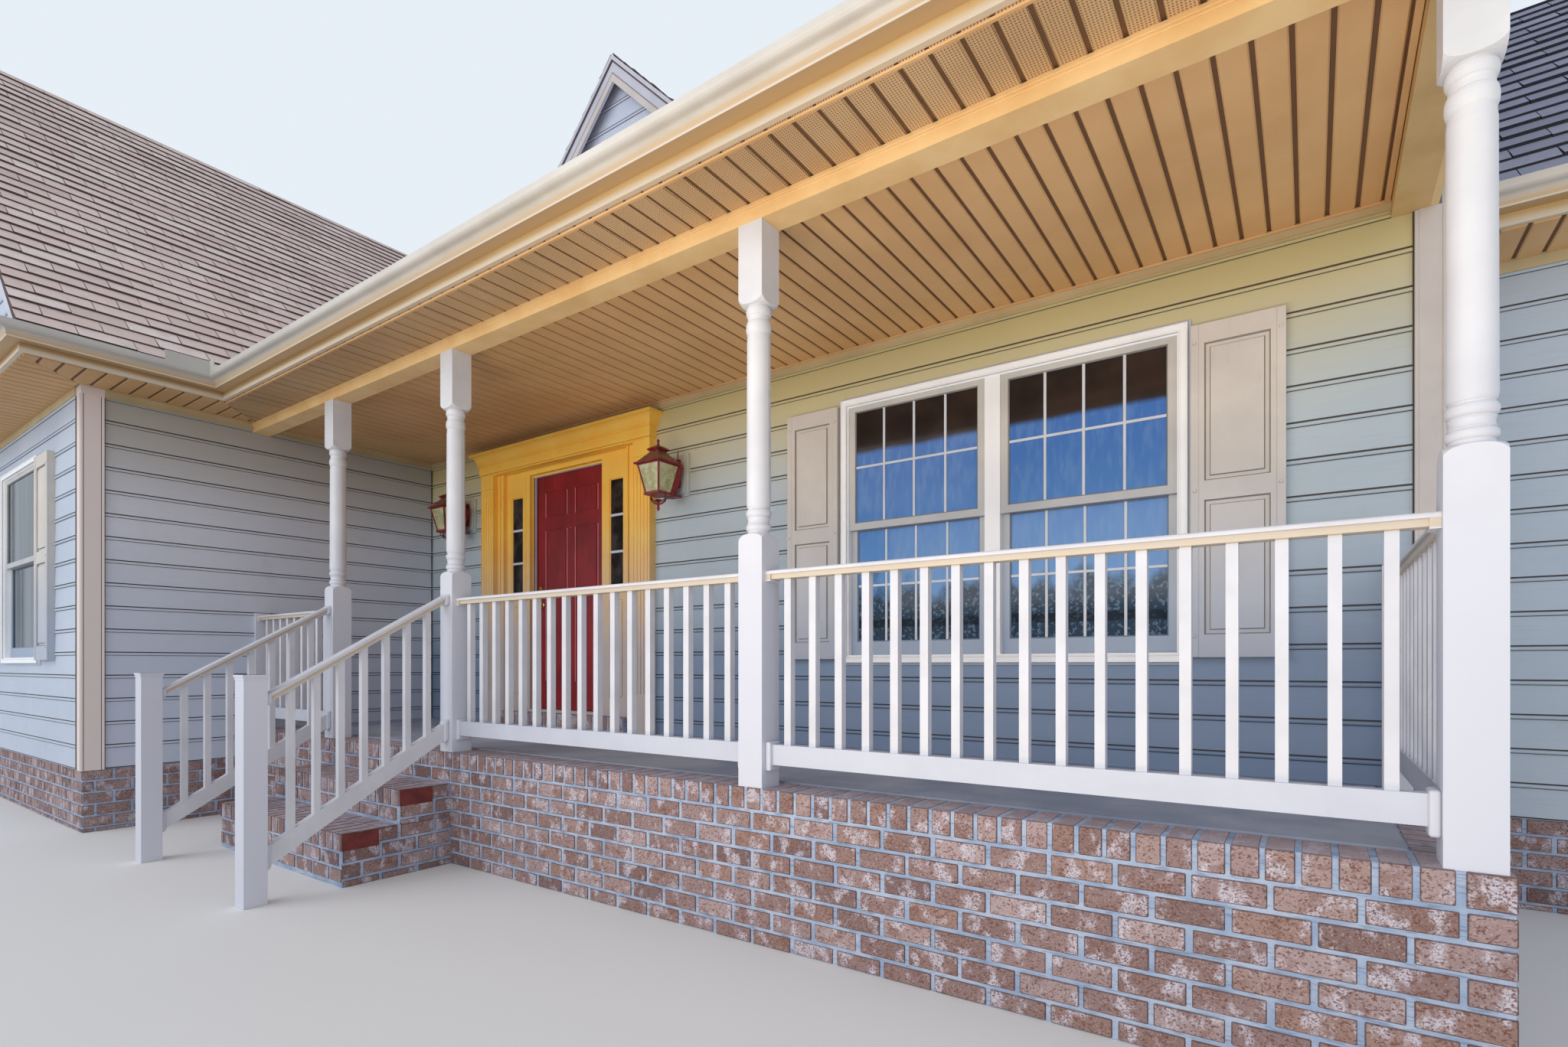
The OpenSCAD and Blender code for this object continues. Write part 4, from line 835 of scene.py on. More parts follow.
def siding():
    """Every sided wall with its openings and slopes, and the board at the side wall's corner."""
    left = WING_X + 0.003
    door = (DOOR_X - 1.03 - left, DOOR_X + 1.03 - left, 0.0, 2.95)
    window, pane = ((x - half + 0.02 - start, x + half - 0.02 - start, WIN_LOW + 0.01, WIN_HIGH - 0.01)
                    for (x, half, _), start in zip(WINDOWS, (left, PARTY_X)))
    gable = ((WING_EAVE_X, 0, FASCIA_TOP - 0.002), (1, 0, 1))
    slope = ((0, EAVE_Y, FASCIA_TOP - 0.002), (0, -PORCH_SLOPE, 1))
    dormer = [((DORMER_X, 0, DORMER_WALL_PEAK - 0.002), (side, 0, 1)) for side in (1, -1)]
    porch_foot, foot, gable_foot = (((0, 0, z), (0, 0, -1)) for z in (FLOOR_Z + 0.0015, FOOT_TOP + 0.0015, 3.52))
    wing_front = face_at(PARTY_X, WING_Y, RIGHT, FRONT)
    low = FOOT_TOP + 0.008
    for name, finish, face, z0, z1, length, holes, cuts in (
            ("porch_siding", PORCH_SIDING, face_at(left, WALL_Y, RIGHT, FRONT), FLOOR_Z, 3.12, 5.43 - left,
             [door, window], [porch_foot]),
            ("wing_side_siding", CORNER_SIDING, face_at(WING_X, WING_Y + 0.115, BACK, RIGHT), low, 3.16,
             WALL_Y - WING_Y - 0.118, [], [foot]),
            ("wing_front_siding", SIDING, wing_front, low, 3.15, WING_X - 0.09 - PARTY_X, [pane], [foot]),
            ("wing_gable_siding", SIDING, wing_front, 3.58, 6.79, WING_EAVE_X - PARTY_X - 0.2, [], [gable, gable_foot]),
            ("side_siding", SIDING, face_at(WALL_END, WALL_Y + 0.08, BACK, RIGHT), FLOOR_Z, 6.35,
             BACK_Y - WALL_Y - 0.08, [], [slope, porch_foot]),
            ("annex_siding", SHADE_SIDING, face_at(WALL_END + 0.025, ANNEX_Y, RIGHT, FRONT), low, 3.15,
             ANNEX_END - WALL_END - 0.029, [], [foot]),
            ("dormer_siding", DORMER_SIDING, face_at(DORMER_X - 1.24, WALL_Y, RIGHT, FRONT), 4.6, DORMER_WALL_PEAK,
             2 * 1.24, [], dormer)):
        for bm, part, paint in zip(lap_wall(face, z0, z1, length, holes), ("", "_lines"), (finish, LAP_LINE)):
            for point, normal in cuts:
                trim(bm, point, normal)
            finish_piece(name + part, bm, paint, "siding")
    bm = bmesh.new()
    box(bm, (WALL_END - 0.015, WALL_Y + 0.001, BEAM_Z + 0.001), (WALL_END + 0.014, WALL_Y + 0.0795, 4.60))
    trim(bm, *slope)
    finish_piece("side_corner_board", bm, TRIM, "beige_vinyl")


# Shingles

EXPOSURE = 0.143
TAB = 0.305
BUTT = 0.018


def shingle_field(bm, start, along, up, length, run, seed):
    """Courses of tabs on a slope. start is its low corner on the roof; up runs up the slope."""
    chance = random.Random(seed)
    start, along, up = Vector(start), Vector(along).normalized(), Vector(up).normalized()
    out = along.cross(up)
    if out.z < 0:
        out = -out
    for i in range(int(run / EXPOSURE) + 1):
        u0, u1 = i * EXPOSURE, min((i + 1) * EXPOSURE + 0.012, run)
        if u1 - u0 < 0.02:
            continue
        s = -(i % 2) * TAB / 2 - chance.uniform(0, 0.01)
        while s < length:
            s0, s1 = max(s, 0.0), min(s + TAB - 0.005, length)
            if s1 - s0 > 0.02:
                low = u0 + chance.uniform(-0.003, 0.003)
                butt = BUTT * chance.uniform(0.75, 1.15)
                base = start + along * s0
                outline = [base + up * low - out * 0.001, base + up * low + out * butt,
                           base + up * u1 + out * 0.0015, base + up * u1 - out * 0.001]
                prism(bm, outline, along * (s1 - s0))
            s += TAB


def roofs():
    """The shingles of each roof: (name, finish, slot, fields, the cut's point and normal)."""
    low = ROOF_TOP - DRIP
    main_x, main_y = -4.70, EAVE_Y - DRIP
    wing_x, wing_y, annex_y = WING_EAVE_X + DRIP, WING_EAVE_Y - DRIP, ANNEX_EAVE_Y - DRIP
    half = 1.345
    valley = Vector((-1.0, 1.0 / PORCH_SLOPE, 0)).normalized()
    across = Vector((-valley.y, valley.x, 0))
    corner = (WING_EAVE_X, EAVE_Y, 0)
    dormer = [((DORMER_X + side * half, DORMER_FRONT, DORMER_PEAK - half), BACK, (-side, 0, 1), 2.2,
               half * math.sqrt(2) - 0.01, 13 + side) for side in (-1, 1)]
    for name, finish, slot, fields, cut in (
            ("main_shingles", SHINGLES, "shingles",
             [((main_x, main_y, ROOF_TOP - DRIP * PORCH_SLOPE), RIGHT, (0, 1, PORCH_SLOPE), WALL_END + 0.012 - main_x,
               (BACK_Y - main_y) * math.hypot(1, PORCH_SLOPE) - 0.004, 3)], (corner, across)),
            ("wing_shingles", SHINGLES, "shingles",
             [((wing_x, wing_y, low), BACK, (-1, 0, 1), BACK_Y - wing_y - 0.004,
               (wing_x - RIDGE_X) * math.sqrt(2) - 0.03, 5)], (corner, -across)),
            ("pent_shingles", SHINGLES, "shingles",
             [((PARTY_X, wing_y, ROOF_TOP - DRIP * 0.5), RIGHT, (0, 1, 0.5), WING_EAVE_X - PARTY_X,
               (WING_Y - wing_y) * math.hypot(1, 0.5) - 0.02, 9)], ((WING_EAVE_X, 0, FASCIA_TOP - 0.004), (1, 0, 1))),
            ("annex_shingles", SLATE_BLUE, "dark_shingles",
             [((WALL_END + 0.028, annex_y, low), RIGHT, (0, 1, 1), ANNEX_END - WALL_END - 0.03,
               (BACK_Y - annex_y) * math.sqrt(2) - 0.02, 11)], None),
            ("dormer_shingles", SHINGLES, "shingles", dormer, ((0, EAVE_Y, ROOF_TOP - 0.01), (0, PORCH_SLOPE, -1)))):
        bm = bmesh.new()
        for field in fields:
            shingle_field(bm, *field)
        if cut:
            trim(bm, *cut)
        finish_piece(name, bm, finish, slot)


def ridge_caps():
    """Bent caps over the dormer's ridge."""
    bm = bmesh.new()
    for i in range(14):
        peak = Vector((DORMER_X, DORMER_FRONT + i * EXPOSURE, DORMER_PEAK))
        for side in (-1, 1):
            lean, up = (Vector((side, 0, rise)).normalized() for rise in (-1, 1))
            foot = peak + lean * 0.13
            prism(bm, [peak + up * 0.009, peak + up * 0.018, foot + up * 0.016, foot + up * 0.008],
                  (0, EXPOSURE + 0.02, -0.004))
    finish_piece("dormer_ridge_caps", bm, SHINGLES, "shingles")


# Ceiling and soffits: flat panels between dark grooves

PANEL = 0.1075
PANEL_START = 5.231
PANEL_T = 0.009
PANEL_GAP = 0.016
PANEL_EDGE = 0.005


def panels(bm, x0, x1, y0, y1, along_y=True, start=PANEL_START):
    """Boards under the eaves, parallel to Y or to X, with chamfered edges at each groove."""
    low, high = (x0, x1) if along_y else (y0, y1)
    edge = start - math.ceil((start - low) / PANEL) * PANEL
    shoulder, face = SOFFIT_Z - PANEL_T * 0.35, SOFFIT_Z - PANEL_T
    while edge < high:
        a, b = max(edge + PANEL_GAP / 2, low), min(edge + PANEL - PANEL_GAP / 2, high)
        if b - a > 0.012:
            outline = [(a, SOFFIT_Z), (b, SOFFIT_Z), (b, shoulder), (b - PANEL_EDGE, face), (a + PANEL_EDGE, face),
                       (a, shoulder)]
            if along_y:
                prism(bm, [(s, y0, h) for s, h in outline], (0, y1 - y0, 0))
            else:
                prism(bm, [(x0, s, h) for s, h in outline], (x1 - x0, 0, 0))
        edge += PANEL


def ceilings():
    """The porch ceiling's panels, and those of each eave, cut at the corners' mitres."""
    ceiling, vented, side, front = new_meshes(4)
    inside, outside = Vector((-1, -1, 0)), Vector((1, 1, 0))
    panels(ceiling, WING_X + 0.026, CEILING_END - 0.033, 0.0645, WALL_Y - 0.026)
    panels(vented, WING_X + 0.015, 5.471, EAVE_Y + 0.022, -0.064)
    trim(vented, (WING_EAVE_X - 0.021, EAVE_Y + 0.021, 0), inside)
    panels(side, WING_X + 0.026, WING_EAVE_X - 0.022, WING_EAVE_Y + 0.022, -0.064, False, 0.0)
    trim(side, (WING_EAVE_X - 0.029, EAVE_Y + 0.021, 0), -inside)
    trim(side, (WING_X + 0.004, WING_Y, 0), -outside)
    panels(front, PARTY_X, WING_EAVE_X - 0.022, WING_EAVE_Y + 0.022, WING_Y - 0.026, True, 0.0)
    trim(front, (WING_X, WING_Y, 0), outside)
    panels(front, WALL_END + 0.015, ANNEX_END, ANNEX_EAVE_Y + 0.022, ANNEX_Y - 0.026)
    finish_piece("ceiling_panels", ceiling, CEILING, "tan_panels")
    finish_piece("front_soffit_panels", vented, VENTED, "tan_panels")
    finish_piece("wing_soffit_panels", side, CEILING, "tan_panels")
    finish_piece("end_soffit_panels", front, CEILING, "tan_panels")


def edge_strips():
    """The strip on the beam, the channels that hold the panels, the friezes' beads and the
    fascias' lower lips."""
    block_piece("beam_strip", BEAM_CREAM, "cream_trim", 0.0015, (
        ((WING_X + 0.02, -0.0755, BEAM_Z + 0.056), (EAVE_END, -0.0635, SOFFIT_Z - 0.008)),
        ((WING_X + 0.02, -0.0695, BEAM_Z + 0.046), (EAVE_END, -0.0635, BEAM_Z + 0.056))))
    z = SOFFIT_Z - 0.008
    block_piece("panel_channels", CEILING, "tan_panels", 0.0015, (
        ((WING_X + 0.026, WALL_Y - 0.037, z - 0.010), (CEILING_END, WALL_Y - 0.0255, z)),
        ((WING_X + 0.026, 0.0640, z - 0.010), (CEILING_END, 0.076, z)),
        ((CEILING_END - 0.0235, 0.0640, z - 0.012), (CEILING_END - 0.0025, WALL_Y - 0.037, z + 0.006)),
        ((WING_EAVE_X - 0.020, EAVE_Y + 0.0185, z - 0.010), (5.4715, EAVE_Y + 0.034, z))))
    z0, z1 = 3.121, 3.131
    block_piece("frieze_beads", FRIEZE, "cream_trim", 0.001, (
        ((WING_X + 0.024, WALL_Y - 0.032, z0), (5.345, WALL_Y - 0.0245, z1)),
        ((WING_X + 0.0245, WING_Y + 0.13, z0), (WING_X + 0.032, -0.064, z1)),
        ((WING_X + 0.0245, 0.064, z0), (WING_X + 0.032, WALL_Y - 0.03, z1))))
    z0, z1, t = SOFFIT_Z, SOFFIT_Z + 0.016, 0.0035
    block_piece("fascia_lips", FASCIA, "almond_trim", 0.0, (
        ((WING_EAVE_X, EAVE_Y - t, z0), (EAVE_END, EAVE_Y, z1)),
        ((WING_EAVE_X, WING_EAVE_Y, z0), (WING_EAVE_X + t, EAVE_Y - t, z1)),
        ((PARTY_X, WING_EAVE_Y - t, z0), (WING_EAVE_X, WING_EAVE_Y, z1)),
        ((WALL_END, ANNEX_EAVE_Y - t, z0), (ANNEX_END, ANNEX_EAVE_Y, z1))))


# Windows and doorway

def picture_frame(bm, x0, x1, z0, z1, width, y0, y1):
    """Four bars around the outside of a rectangle on a wall."""
    box(bm, (x0 - width, y0, z0 - width), (x0, y1, z1 + width))
    box(bm, (x1, y0, z0 - width), (x1 + width, y1, z1 + width))
    box(bm, (x0, y0, z1), (x1, y1, z1 + width))
    box(bm, (x0, y0, z0 - width), (x1, y1, z0))


def windows():
    """Thin bars over the panes, beads on the sashes in dark grey as painted shade, the casings' edges and the siding's
    channels.
    """
    bars, beads, channels, edges = new_meshes(4)
    (main_x, main_half, wall), (wing_x, wing_half, wing_wall) = WINDOWS
    edge = CASING + FRAME
    low, high = WIN_LOW + edge + SASH_FOOT, WIN_HIGH - edge - SASH_HEAD
    middle = (low + high) / 2
    for x0, x1, wall in ((main_x - main_half + edge, main_x - MULLION / 2, wall),
                         (main_x + MULLION / 2, main_x + main_half - edge, wall),
                         (wing_x - wing_half + edge, wing_x + wing_half - edge, wing_wall)):
        x0, x1 = x0 + SASH, x1 - SASH
        for z0, z1, y in ((middle + SASH / 2, high, wall), (low, middle - SASH / 2, wall + 0.030)):
            if wall == WALL_Y:
                for i in (1, 2, 3):
                    x = x0 + (x1 - x0) * i / 4
                    box(bars, (x - 0.0075, y - 0.006, z0), (x + 0.0075, y + 0.001, z1))
                z = (z0 + z1) / 2
                box(bars, (x0, y - 0.0055, z - 0.0075), (x1, y + 0.001, z + 0.0075))
            picture_frame(beads, x0 + 0.007, x1 - 0.007, z0 + 0.007, z1 - 0.007, 0.008, y - 0.007, y + 0.001)
    for x, half, wall in WINDOWS:
        for bm, inset, width, y0, y1 in ((edges, 0.010, 0.010, -0.040, -0.030), (edges, CASING, 0.009, -0.039, -0.030),
                                         (channels, -0.0005, 0.013, -0.020, 0.0)):
            picture_frame(bm, x - half + inset, x + half - inset, WIN_LOW + inset, WIN_HIGH - inset, width,
                          wall + y0, wall + y1)
    finish_piece("window_bars", bars, BAR_PAINT, "white_paint", 0.002)
    finish_piece("sash_beads", beads, SASH_BEAD_SHADE, "white_paint", 0.002)
    finish_piece("casing_edges", edges, WINDOW_WHITE, "white_paint", 0.0025)
    finish_piece("window_channels", channels, SIDING, "siding", 0.002)


def round_cap(bm, x, y, z, radius, narrow, depth, segments):
    """A round cap whose axis runs towards the wall, narrower in front."""
    place = Matrix.Translation((x, y, z)) @ Matrix.Rotation(math.pi / 2, 4, "X")
    bmesh.ops.create_cone(bm, cap_ends=True, segments=segments, radius1=radius, radius2=narrow, depth=depth,
                          matrix=place)


def both_sides(x0, x1, y0, y1, z0, z1):
    """Two blocks, one on each side of the doorway's middle."""
    return [((DOOR_X + side * x0, y0, z0), (DOOR_X + side * x1, y1, z1)) for side in (-1, 1)]


def across(half, y0, y1, z0, z1):
    """A block across the doorway."""
    return [((DOOR_X - half, y0, z0), (DOOR_X + half, y1, z1))]


def sidelights():
    """The beads, lower panels and cross bars of both sidelights."""
    foot = 0.808
    low, high = foot + 0.992, LEAF_HEAD - 0.176
    inner, outer, bead = 0.555, 0.715, 0.009
    y0, y1 = LIGHT_Y + 0.004, LIGHT_Y + 0.0165
    block_piece("sidelight_bars", CREAM, "cream_trim", 0.0025,
                both_sides(inner, inner + bead, y0, y1, low, high)
                + both_sides(outer - bead, outer, y0, y1, low, high)
                + both_sides(inner, outer, y0, y1, low, low + bead)
                + both_sides(inner, outer, y0, y1, high - bead, high)
                + both_sides(inner + 0.018, outer - 0.018, LIGHT_Y + 0.001, LIGHT_Y + 0.0082, foot + 0.135,
                             low - 0.105))
    bars = []
    for i in (1, 2):
        z = low + (high - low) * i / 3
        bars += both_sides(inner + bead, outer - bead, LIGHT_Y + 0.003, y1, z - 0.010, z + 0.010)
    block_piece("sidelight_cross_bars", BAR_PAINT, "white_paint", 0.0025, bars)


def doorway():
    """The surround's mouldings, dark strips of painted shade in the slits around the door, its seals, pale strips of
    painted highlight on its panels' mouldings, and its viewer.
    """
    crown, shaft, ledge = 2.898, WALL_Y - 0.0255, WALL_Y - 0.0735
    block_piece("surround_mouldings", CREAM, "cream_trim", 0.003,
                both_sides(SURROUND, SURROUND + 0.016, WALL_Y - 0.042, shaft, FLOOR_Z + 0.1, crown)
                + both_sides(SURROUND + 0.060, SURROUND + 0.072, WALL_Y - 0.036, shaft, FLOOR_Z + 0.01, crown)
                + across(0.803, WALL_Y - 0.090, ledge, crown, crown + 0.014)
                + across(1.078, WALL_Y - 0.0815, ledge, crown + 0.007, crown + 0.017))
    stop, head = OPENING - 0.014, LEAF_HEAD - 0.014
    y0, y1 = LEAF_Y + 0.004, LEAF_Y + 0.020
    # painted shade: dark strips in the slits beside and under the door's leaf and at its stops
    block_piece("door_gap_shadows", GAP_SHADE, "cream_trim", 0.0,
                both_sides(OPENING, 0.4575, y0, y1, LEAF_Z, LEAF_HEAD - 0.008)
                + across(0.456, y0, y1, LEAF_Z - 0.0065, LEAF_Z - 0.0005)
                + both_sides(stop, stop - 0.0035, STOP_Y - 0.003, STOP_Y + 0.003, LEAF_Z, head))
    y0, y1 = STOP_Y + 0.003, STOP_Y + 0.0298
    block_piece("door_seals", BAR_PAINT, "white_paint", 0.0008,
                both_sides(stop, stop - 0.003, y0, y1, LEAF_Z, head) + across(stop, y0, y1, head - 0.003, head))
    top = LEAF_Z + LEAF_H
    # painted highlight: pale upright strips along the panels' mouldings
    beads = []
    for z0, z1 in ((LEAF_Z + 0.235, top - 0.480), (top - 0.370, top - 0.150)):
        for x in (0.053, 0.335):
            beads += both_sides(x - 0.0035, x + 0.0035, LEAF_Y - 0.0016, LEAF_Y + 0.001, z0 + 0.004, z1 - 0.004)
    block_piece("door_panel_highlights", DOOR_HIGHLIGHT, "door_red", 0.0012, beads, "door")
    viewer = bmesh.new()
    for radius, depth in ((0.011, 0.006), (0.007, 0.009)):
        round_cap(viewer, DOOR_X, LEAF_Y - depth / 2, 2.36, radius, radius * 0.85, depth, 20)
    finish_piece("door_viewer", viewer, BRASS, "polished_brass", body="door")


def shutter_details():
    """Fastener caps down both outer boards of each shutter, the boards, and dark strips of painted shade around their
    panels.
    """
    caps, stiles, lines = new_meshes(3)
    z0, z1 = 1.231, 2.820
    middle = (z0 + z1) / 2
    edge, inset = 0.0055, 0.026
    stile = 0.058
    w = SHUTTER_W
    for (centre, half, wall), gap in zip(WINDOWS, SHUTTER_GAPS):
        y = wall - 0.054
        for x0 in (centre - half - gap - w, centre + half + gap):
            for x in (x0 + 0.018, x0 + w - 0.018):
                for z in (z0 + 0.10, middle, z1 - 0.09):
                    round_cap(caps, x, y - 0.006, z, 0.010, 0.007, 0.006, 16)
            for a, b in ((x0 - 0.001, x0 + 0.036), (x0 + w - 0.036, x0 + w + 0.001)):
                box(stiles, (a, y - 0.004, z0 - 0.001), (b, y + 0.010, z1 + 0.001))
            for low, high in ((z0 + 0.108, middle - 0.046), (middle + 0.046, z1 - 0.092)):
                for shift, width, front in ((edge, edge + 0.0005, 0.0090), (inset, 0.004, 0.0095)):
                    side = shift + stile
                    picture_frame(lines, x0 + side, x0 + w - side, low + shift, high - shift, width, y + front,
                                  y + 0.0125)
    finish_piece("shutter_caps", caps, SHUTTER, "beige_vinyl")
    finish_piece("shutter_stiles", stiles, SHUTTER, "beige_vinyl", 0.004, 2)
    finish_piece("shutter_shadow_lines", lines, SHUTTER_LINE, "beige_vinyl")


# Lanterns

def taper(bm, x, y, z0, half0, z1, half1):
    """A square tower that narrows or widens between two heights."""
    for vert in box(bm, (x - half0, y - half0, z0), (x + half0, y + half0, z1)):
        if vert.co.z > (z0 + z1) / 2:
            vert.co.x = x + (vert.co.x - x) * half1 / half0
            vert.co.y = y + (vert.co.y - y) * half1 / half0


def turned(bm, x, y, z, outline, steps):
    """Spins an outline of (radius, height over z) about an upright axis."""
    verts = [bm.verts.new((x + r, y, z + h)) for r, h in outline]
    edges = [bm.edges.new(pair) for pair in zip(verts, verts[1:])]
    bmesh.ops.spin(bm, geom=verts + edges, cent=(x, y, 0), axis=(0, 0, 1), angle=2 * math.pi, steps=steps,
                   use_merge=True)
    bmesh.ops.remove_doubles(bm, verts=bm.verts, dist=1e-5)


def ribbon(bm, points, width, thick):
    """A strip of metal that follows points in an upright plane."""
    for a, b in zip(points, points[1:]):
        a, b = Vector(a), Vector(b)
        along = (b - a).normalized()
        side = Vector((-along.y, along.x, 0))
        side = side.normalized() if side.length > 1e-4 else Vector((1, 0, 0))
        up = along.cross(side).normalized() * thick / 2
        side *= width / 2
        a = a - along * thick * 0.3
        prism(bm, [a - side - up, a + side - up, a + side + up, a - side + up], (b - a) + along * thick * 0.3)


FINIAL = ((0.0001, 0.130), (0.019, 0.132), (0.012, 0.142), (0.0065, 0.150), (0.0060, 0.156), (0.0095, 0.161),
          (0.0115, 0.168), (0.0090, 0.175), (0.0045, 0.180), (0.0001, 0.187))
DROP = ((0.0001, -0.124), (0.006, -0.118), (0.012, -0.104), (0.008, -0.092), (0.011, -0.084), (0.007, -0.074),
        (0.012, -0.060), (0.030, -0.046), (0.020, -0.040), (0.0001, -0.036))


def lantern(metal, panes, tops, x):
    """One wall lantern: a glazed body that widens upwards, its roof, finial, drop, bracket and plate."""
    y, z = WALL_Y - 0.244, 2.622
    low = z - 0.208
    h0, h1 = 0.067, 0.107
    w = 0.011
    taper(panes, x, y, low + 0.004, h0 - 0.006, z - 0.004, h1 - 0.006)
    for sx in (-1, 1):
        for sy in (-1, 1):
            a = Vector((x + sx * h0, y + sy * h0, low))
            b = Vector((x + sx * h1, y + sy * h1, z))
            prism(metal, [a, a - Vector((sx * w, 0, 0)), a - Vector((sx * w, sy * w, 0)), a - Vector((0, sy * w, 0))],
                  b - a)
    for half, z0, z1 in ((h0 + 0.006, low - 0.010, low + 0.008), (h1 + 0.002, z - 0.010, z + 0.001),
                         (0.124, z - 0.002, z + 0.010)):
        box(metal, (x - half, y - half, z0), (x + half, y + half, z1))
    taper(tops, x, y, z + 0.0095, 0.113, z + 0.096, 0.036)
    for z0, half0, z1, half1 in ((0.060, 0.042, 0.088, 0.036), (0.088, 0.036, 0.104, 0.058),
                                 (0.104, 0.058, 0.113, 0.054), (0.113, 0.054, 0.134, 0.020)):
        taper(metal, x, y, z + z0, half0, z + z1, half1)
    turned(metal, x, y, z, FINIAL, 16)
    back = WALL_Y - 0.052
    prism(metal, [(x - 0.052, y + 0.060, low), (x + 0.052, y + 0.060, low), (x + 0.052, back, low),
                  (x - 0.052, back, low)], (0, 0, 0.014))
    for vert in box(metal, (x - 0.060, y + 0.068, low), (x + 0.060, y + 0.122, z)):
        if vert.co.z > (low + z) / 2:
            vert.co.x += 0.036 if vert.co.x > x else -0.036
            vert.co.y += 0.036
    box(metal, (x + 0.060, back - 0.060, z + 0.010), (x + 0.066, back - 0.054, z + 0.120))
    turned(metal, x, y, low, DROP, 20)
    for sx, sy in ((1, 0), (-1, 0), (0, 1), (0, -1)):
        curl = []
        for i in range(11):
            t = i / 10
            r = 0.060 * (1 - t) ** 0.7 + 0.014 + 0.016 * math.sin(math.pi * t)
            curl.append((x + sx * r, y + sy * r, low - 0.008 - 0.066 * t))
        ribbon(metal, curl, 0.012, 0.004)
    box(metal, (x - 0.038, WALL_Y - 0.066, z - 0.132), (x + 0.038, WALL_Y - 0.050, z + 0.074))
    arm = [(x, WALL_Y - 0.064 - 0.150 * i / 12, z + 0.040 + 0.058 * math.sin(i / 12 * math.pi * 0.5))
           for i in range(13)]
    ribbon(metal, arm, 0.016, 0.008)
    scroll = []
    for i in range(17):
        a = math.radians(-90 + 300 * i / 16)
        r = 0.034 - 0.0014 * i
        scroll.append((x, WALL_Y - 0.104 + r * math.cos(a), z + 0.004 + r * math.sin(a)))
    ribbon(metal, scroll, 0.012, 0.004)
    foot = [(x, WALL_Y - 0.066 - 0.038 * i / 6, z - 0.062 + 0.032 * (i / 6) ** 2) for i in range(7)]
    ribbon(metal, foot, 0.012, 0.004)


def lanterns():
    """Both lanterns and the blocks on the siding behind them."""
    metal, panes, tops = new_meshes(3)
    blocks = []
    for side in (-1, 1):
        x = DOOR_X + side * LANTERN_X
        lantern(metal, panes, tops, x)
        blocks += [((x - 0.095, WALL_Y - 0.034, 2.430), (x + 0.095, WALL_Y, 2.740)),
                   ((x - 0.078, WALL_Y - 0.050, 2.450), (x + 0.078, WALL_Y - 0.033, 2.722))]
    metal_piece = finish_piece("lantern_frames", metal, LANTERN_RED, "lantern_red", 0.0012)
    finish_piece("lantern_panes", panes, LANTERN_GLASS, "lantern_red")
    finish_piece("lantern_roofs", tops, LANTERN_ROOF, "lantern_red")
    block_piece("lantern_blocks", PORCH_SIDING, "siding", 0.003, blocks)
    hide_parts("lanterns")


# Small trim

def newel_beads():
    """The sharp rim of each newel's cap and the bead below it."""
    bm = bmesh.new()
    y, top = -1.092, 1.1450
    for x in (-NEWEL_X, NEWEL_X):
        taper(bm, x, y, top - 0.0005, 0.057, top, 0.056)
        box(bm, (x - 0.0545, y - 0.0545, 1.118), (x + 0.0545, y + 0.0545, 1.1335))
    finish_piece("newel_beads", bm, WHITE, "white_paint", 0.001)


def corner_lines():
    """Dark strips of painted shade between the siding and the corner boards, and the pale lips of the boards."""
    floor, foot = FLOOR_Z + 0.002, FOOT_TOP + 0.002
    # painted shade: dark strips beside each corner board
    gap_shadows = [((5.4165, WALL_Y - 0.0170, floor), (5.4225, WALL_Y - 0.001, BEAM_Z)),
            ((WING_X + 0.001, -0.998, foot), (WING_X + 0.0175, -0.991, FRIEZE_LOW)),
            ((-2.180, WING_Y - 0.0175, foot), (-2.1735, WING_Y - 0.001, FRIEZE_LOW)),
            ((WING_X + 0.001, WALL_Y - 0.020, floor), (WING_X + 0.018, WALL_Y - 0.0165, FRIEZE_LOW))]
    gap_shadows += [((WING_X + 0.020, y, foot), (WING_X + 0.0253, y + 0.004, FRIEZE_LOW)) for y in (-1.113, -1.016)]
    gap_shadows += [((x, WING_Y - 0.0150, foot), (x + 0.004, WING_Y - 0.0010, FRIEZE_LOW)) for x in (-2.166, -2.078)]
    block_piece("corner_gap_shadows", LAP_LINE, "siding", 0.0, gap_shadows)
    block_piece("corner_lips", TRIM, "beige_vinyl", 0.0015, (
        ((5.4225, WALL_Y - 0.029, floor), (5.436, WALL_Y - 0.0245, BEAM_Z - 0.001)),
        ((5.512, WALL_Y - 0.029, floor), (5.5255, WALL_Y - 0.0245, BEAM_Z - 0.001)),
        ((WING_X + 0.0245, -1.008, foot), (WING_X + 0.0285, -0.997, FRIEZE_LOW)),
        ((-2.1735, WING_Y - 0.0045, foot), (-2.162, WING_Y - 0.0005, FRIEZE_LOW))))


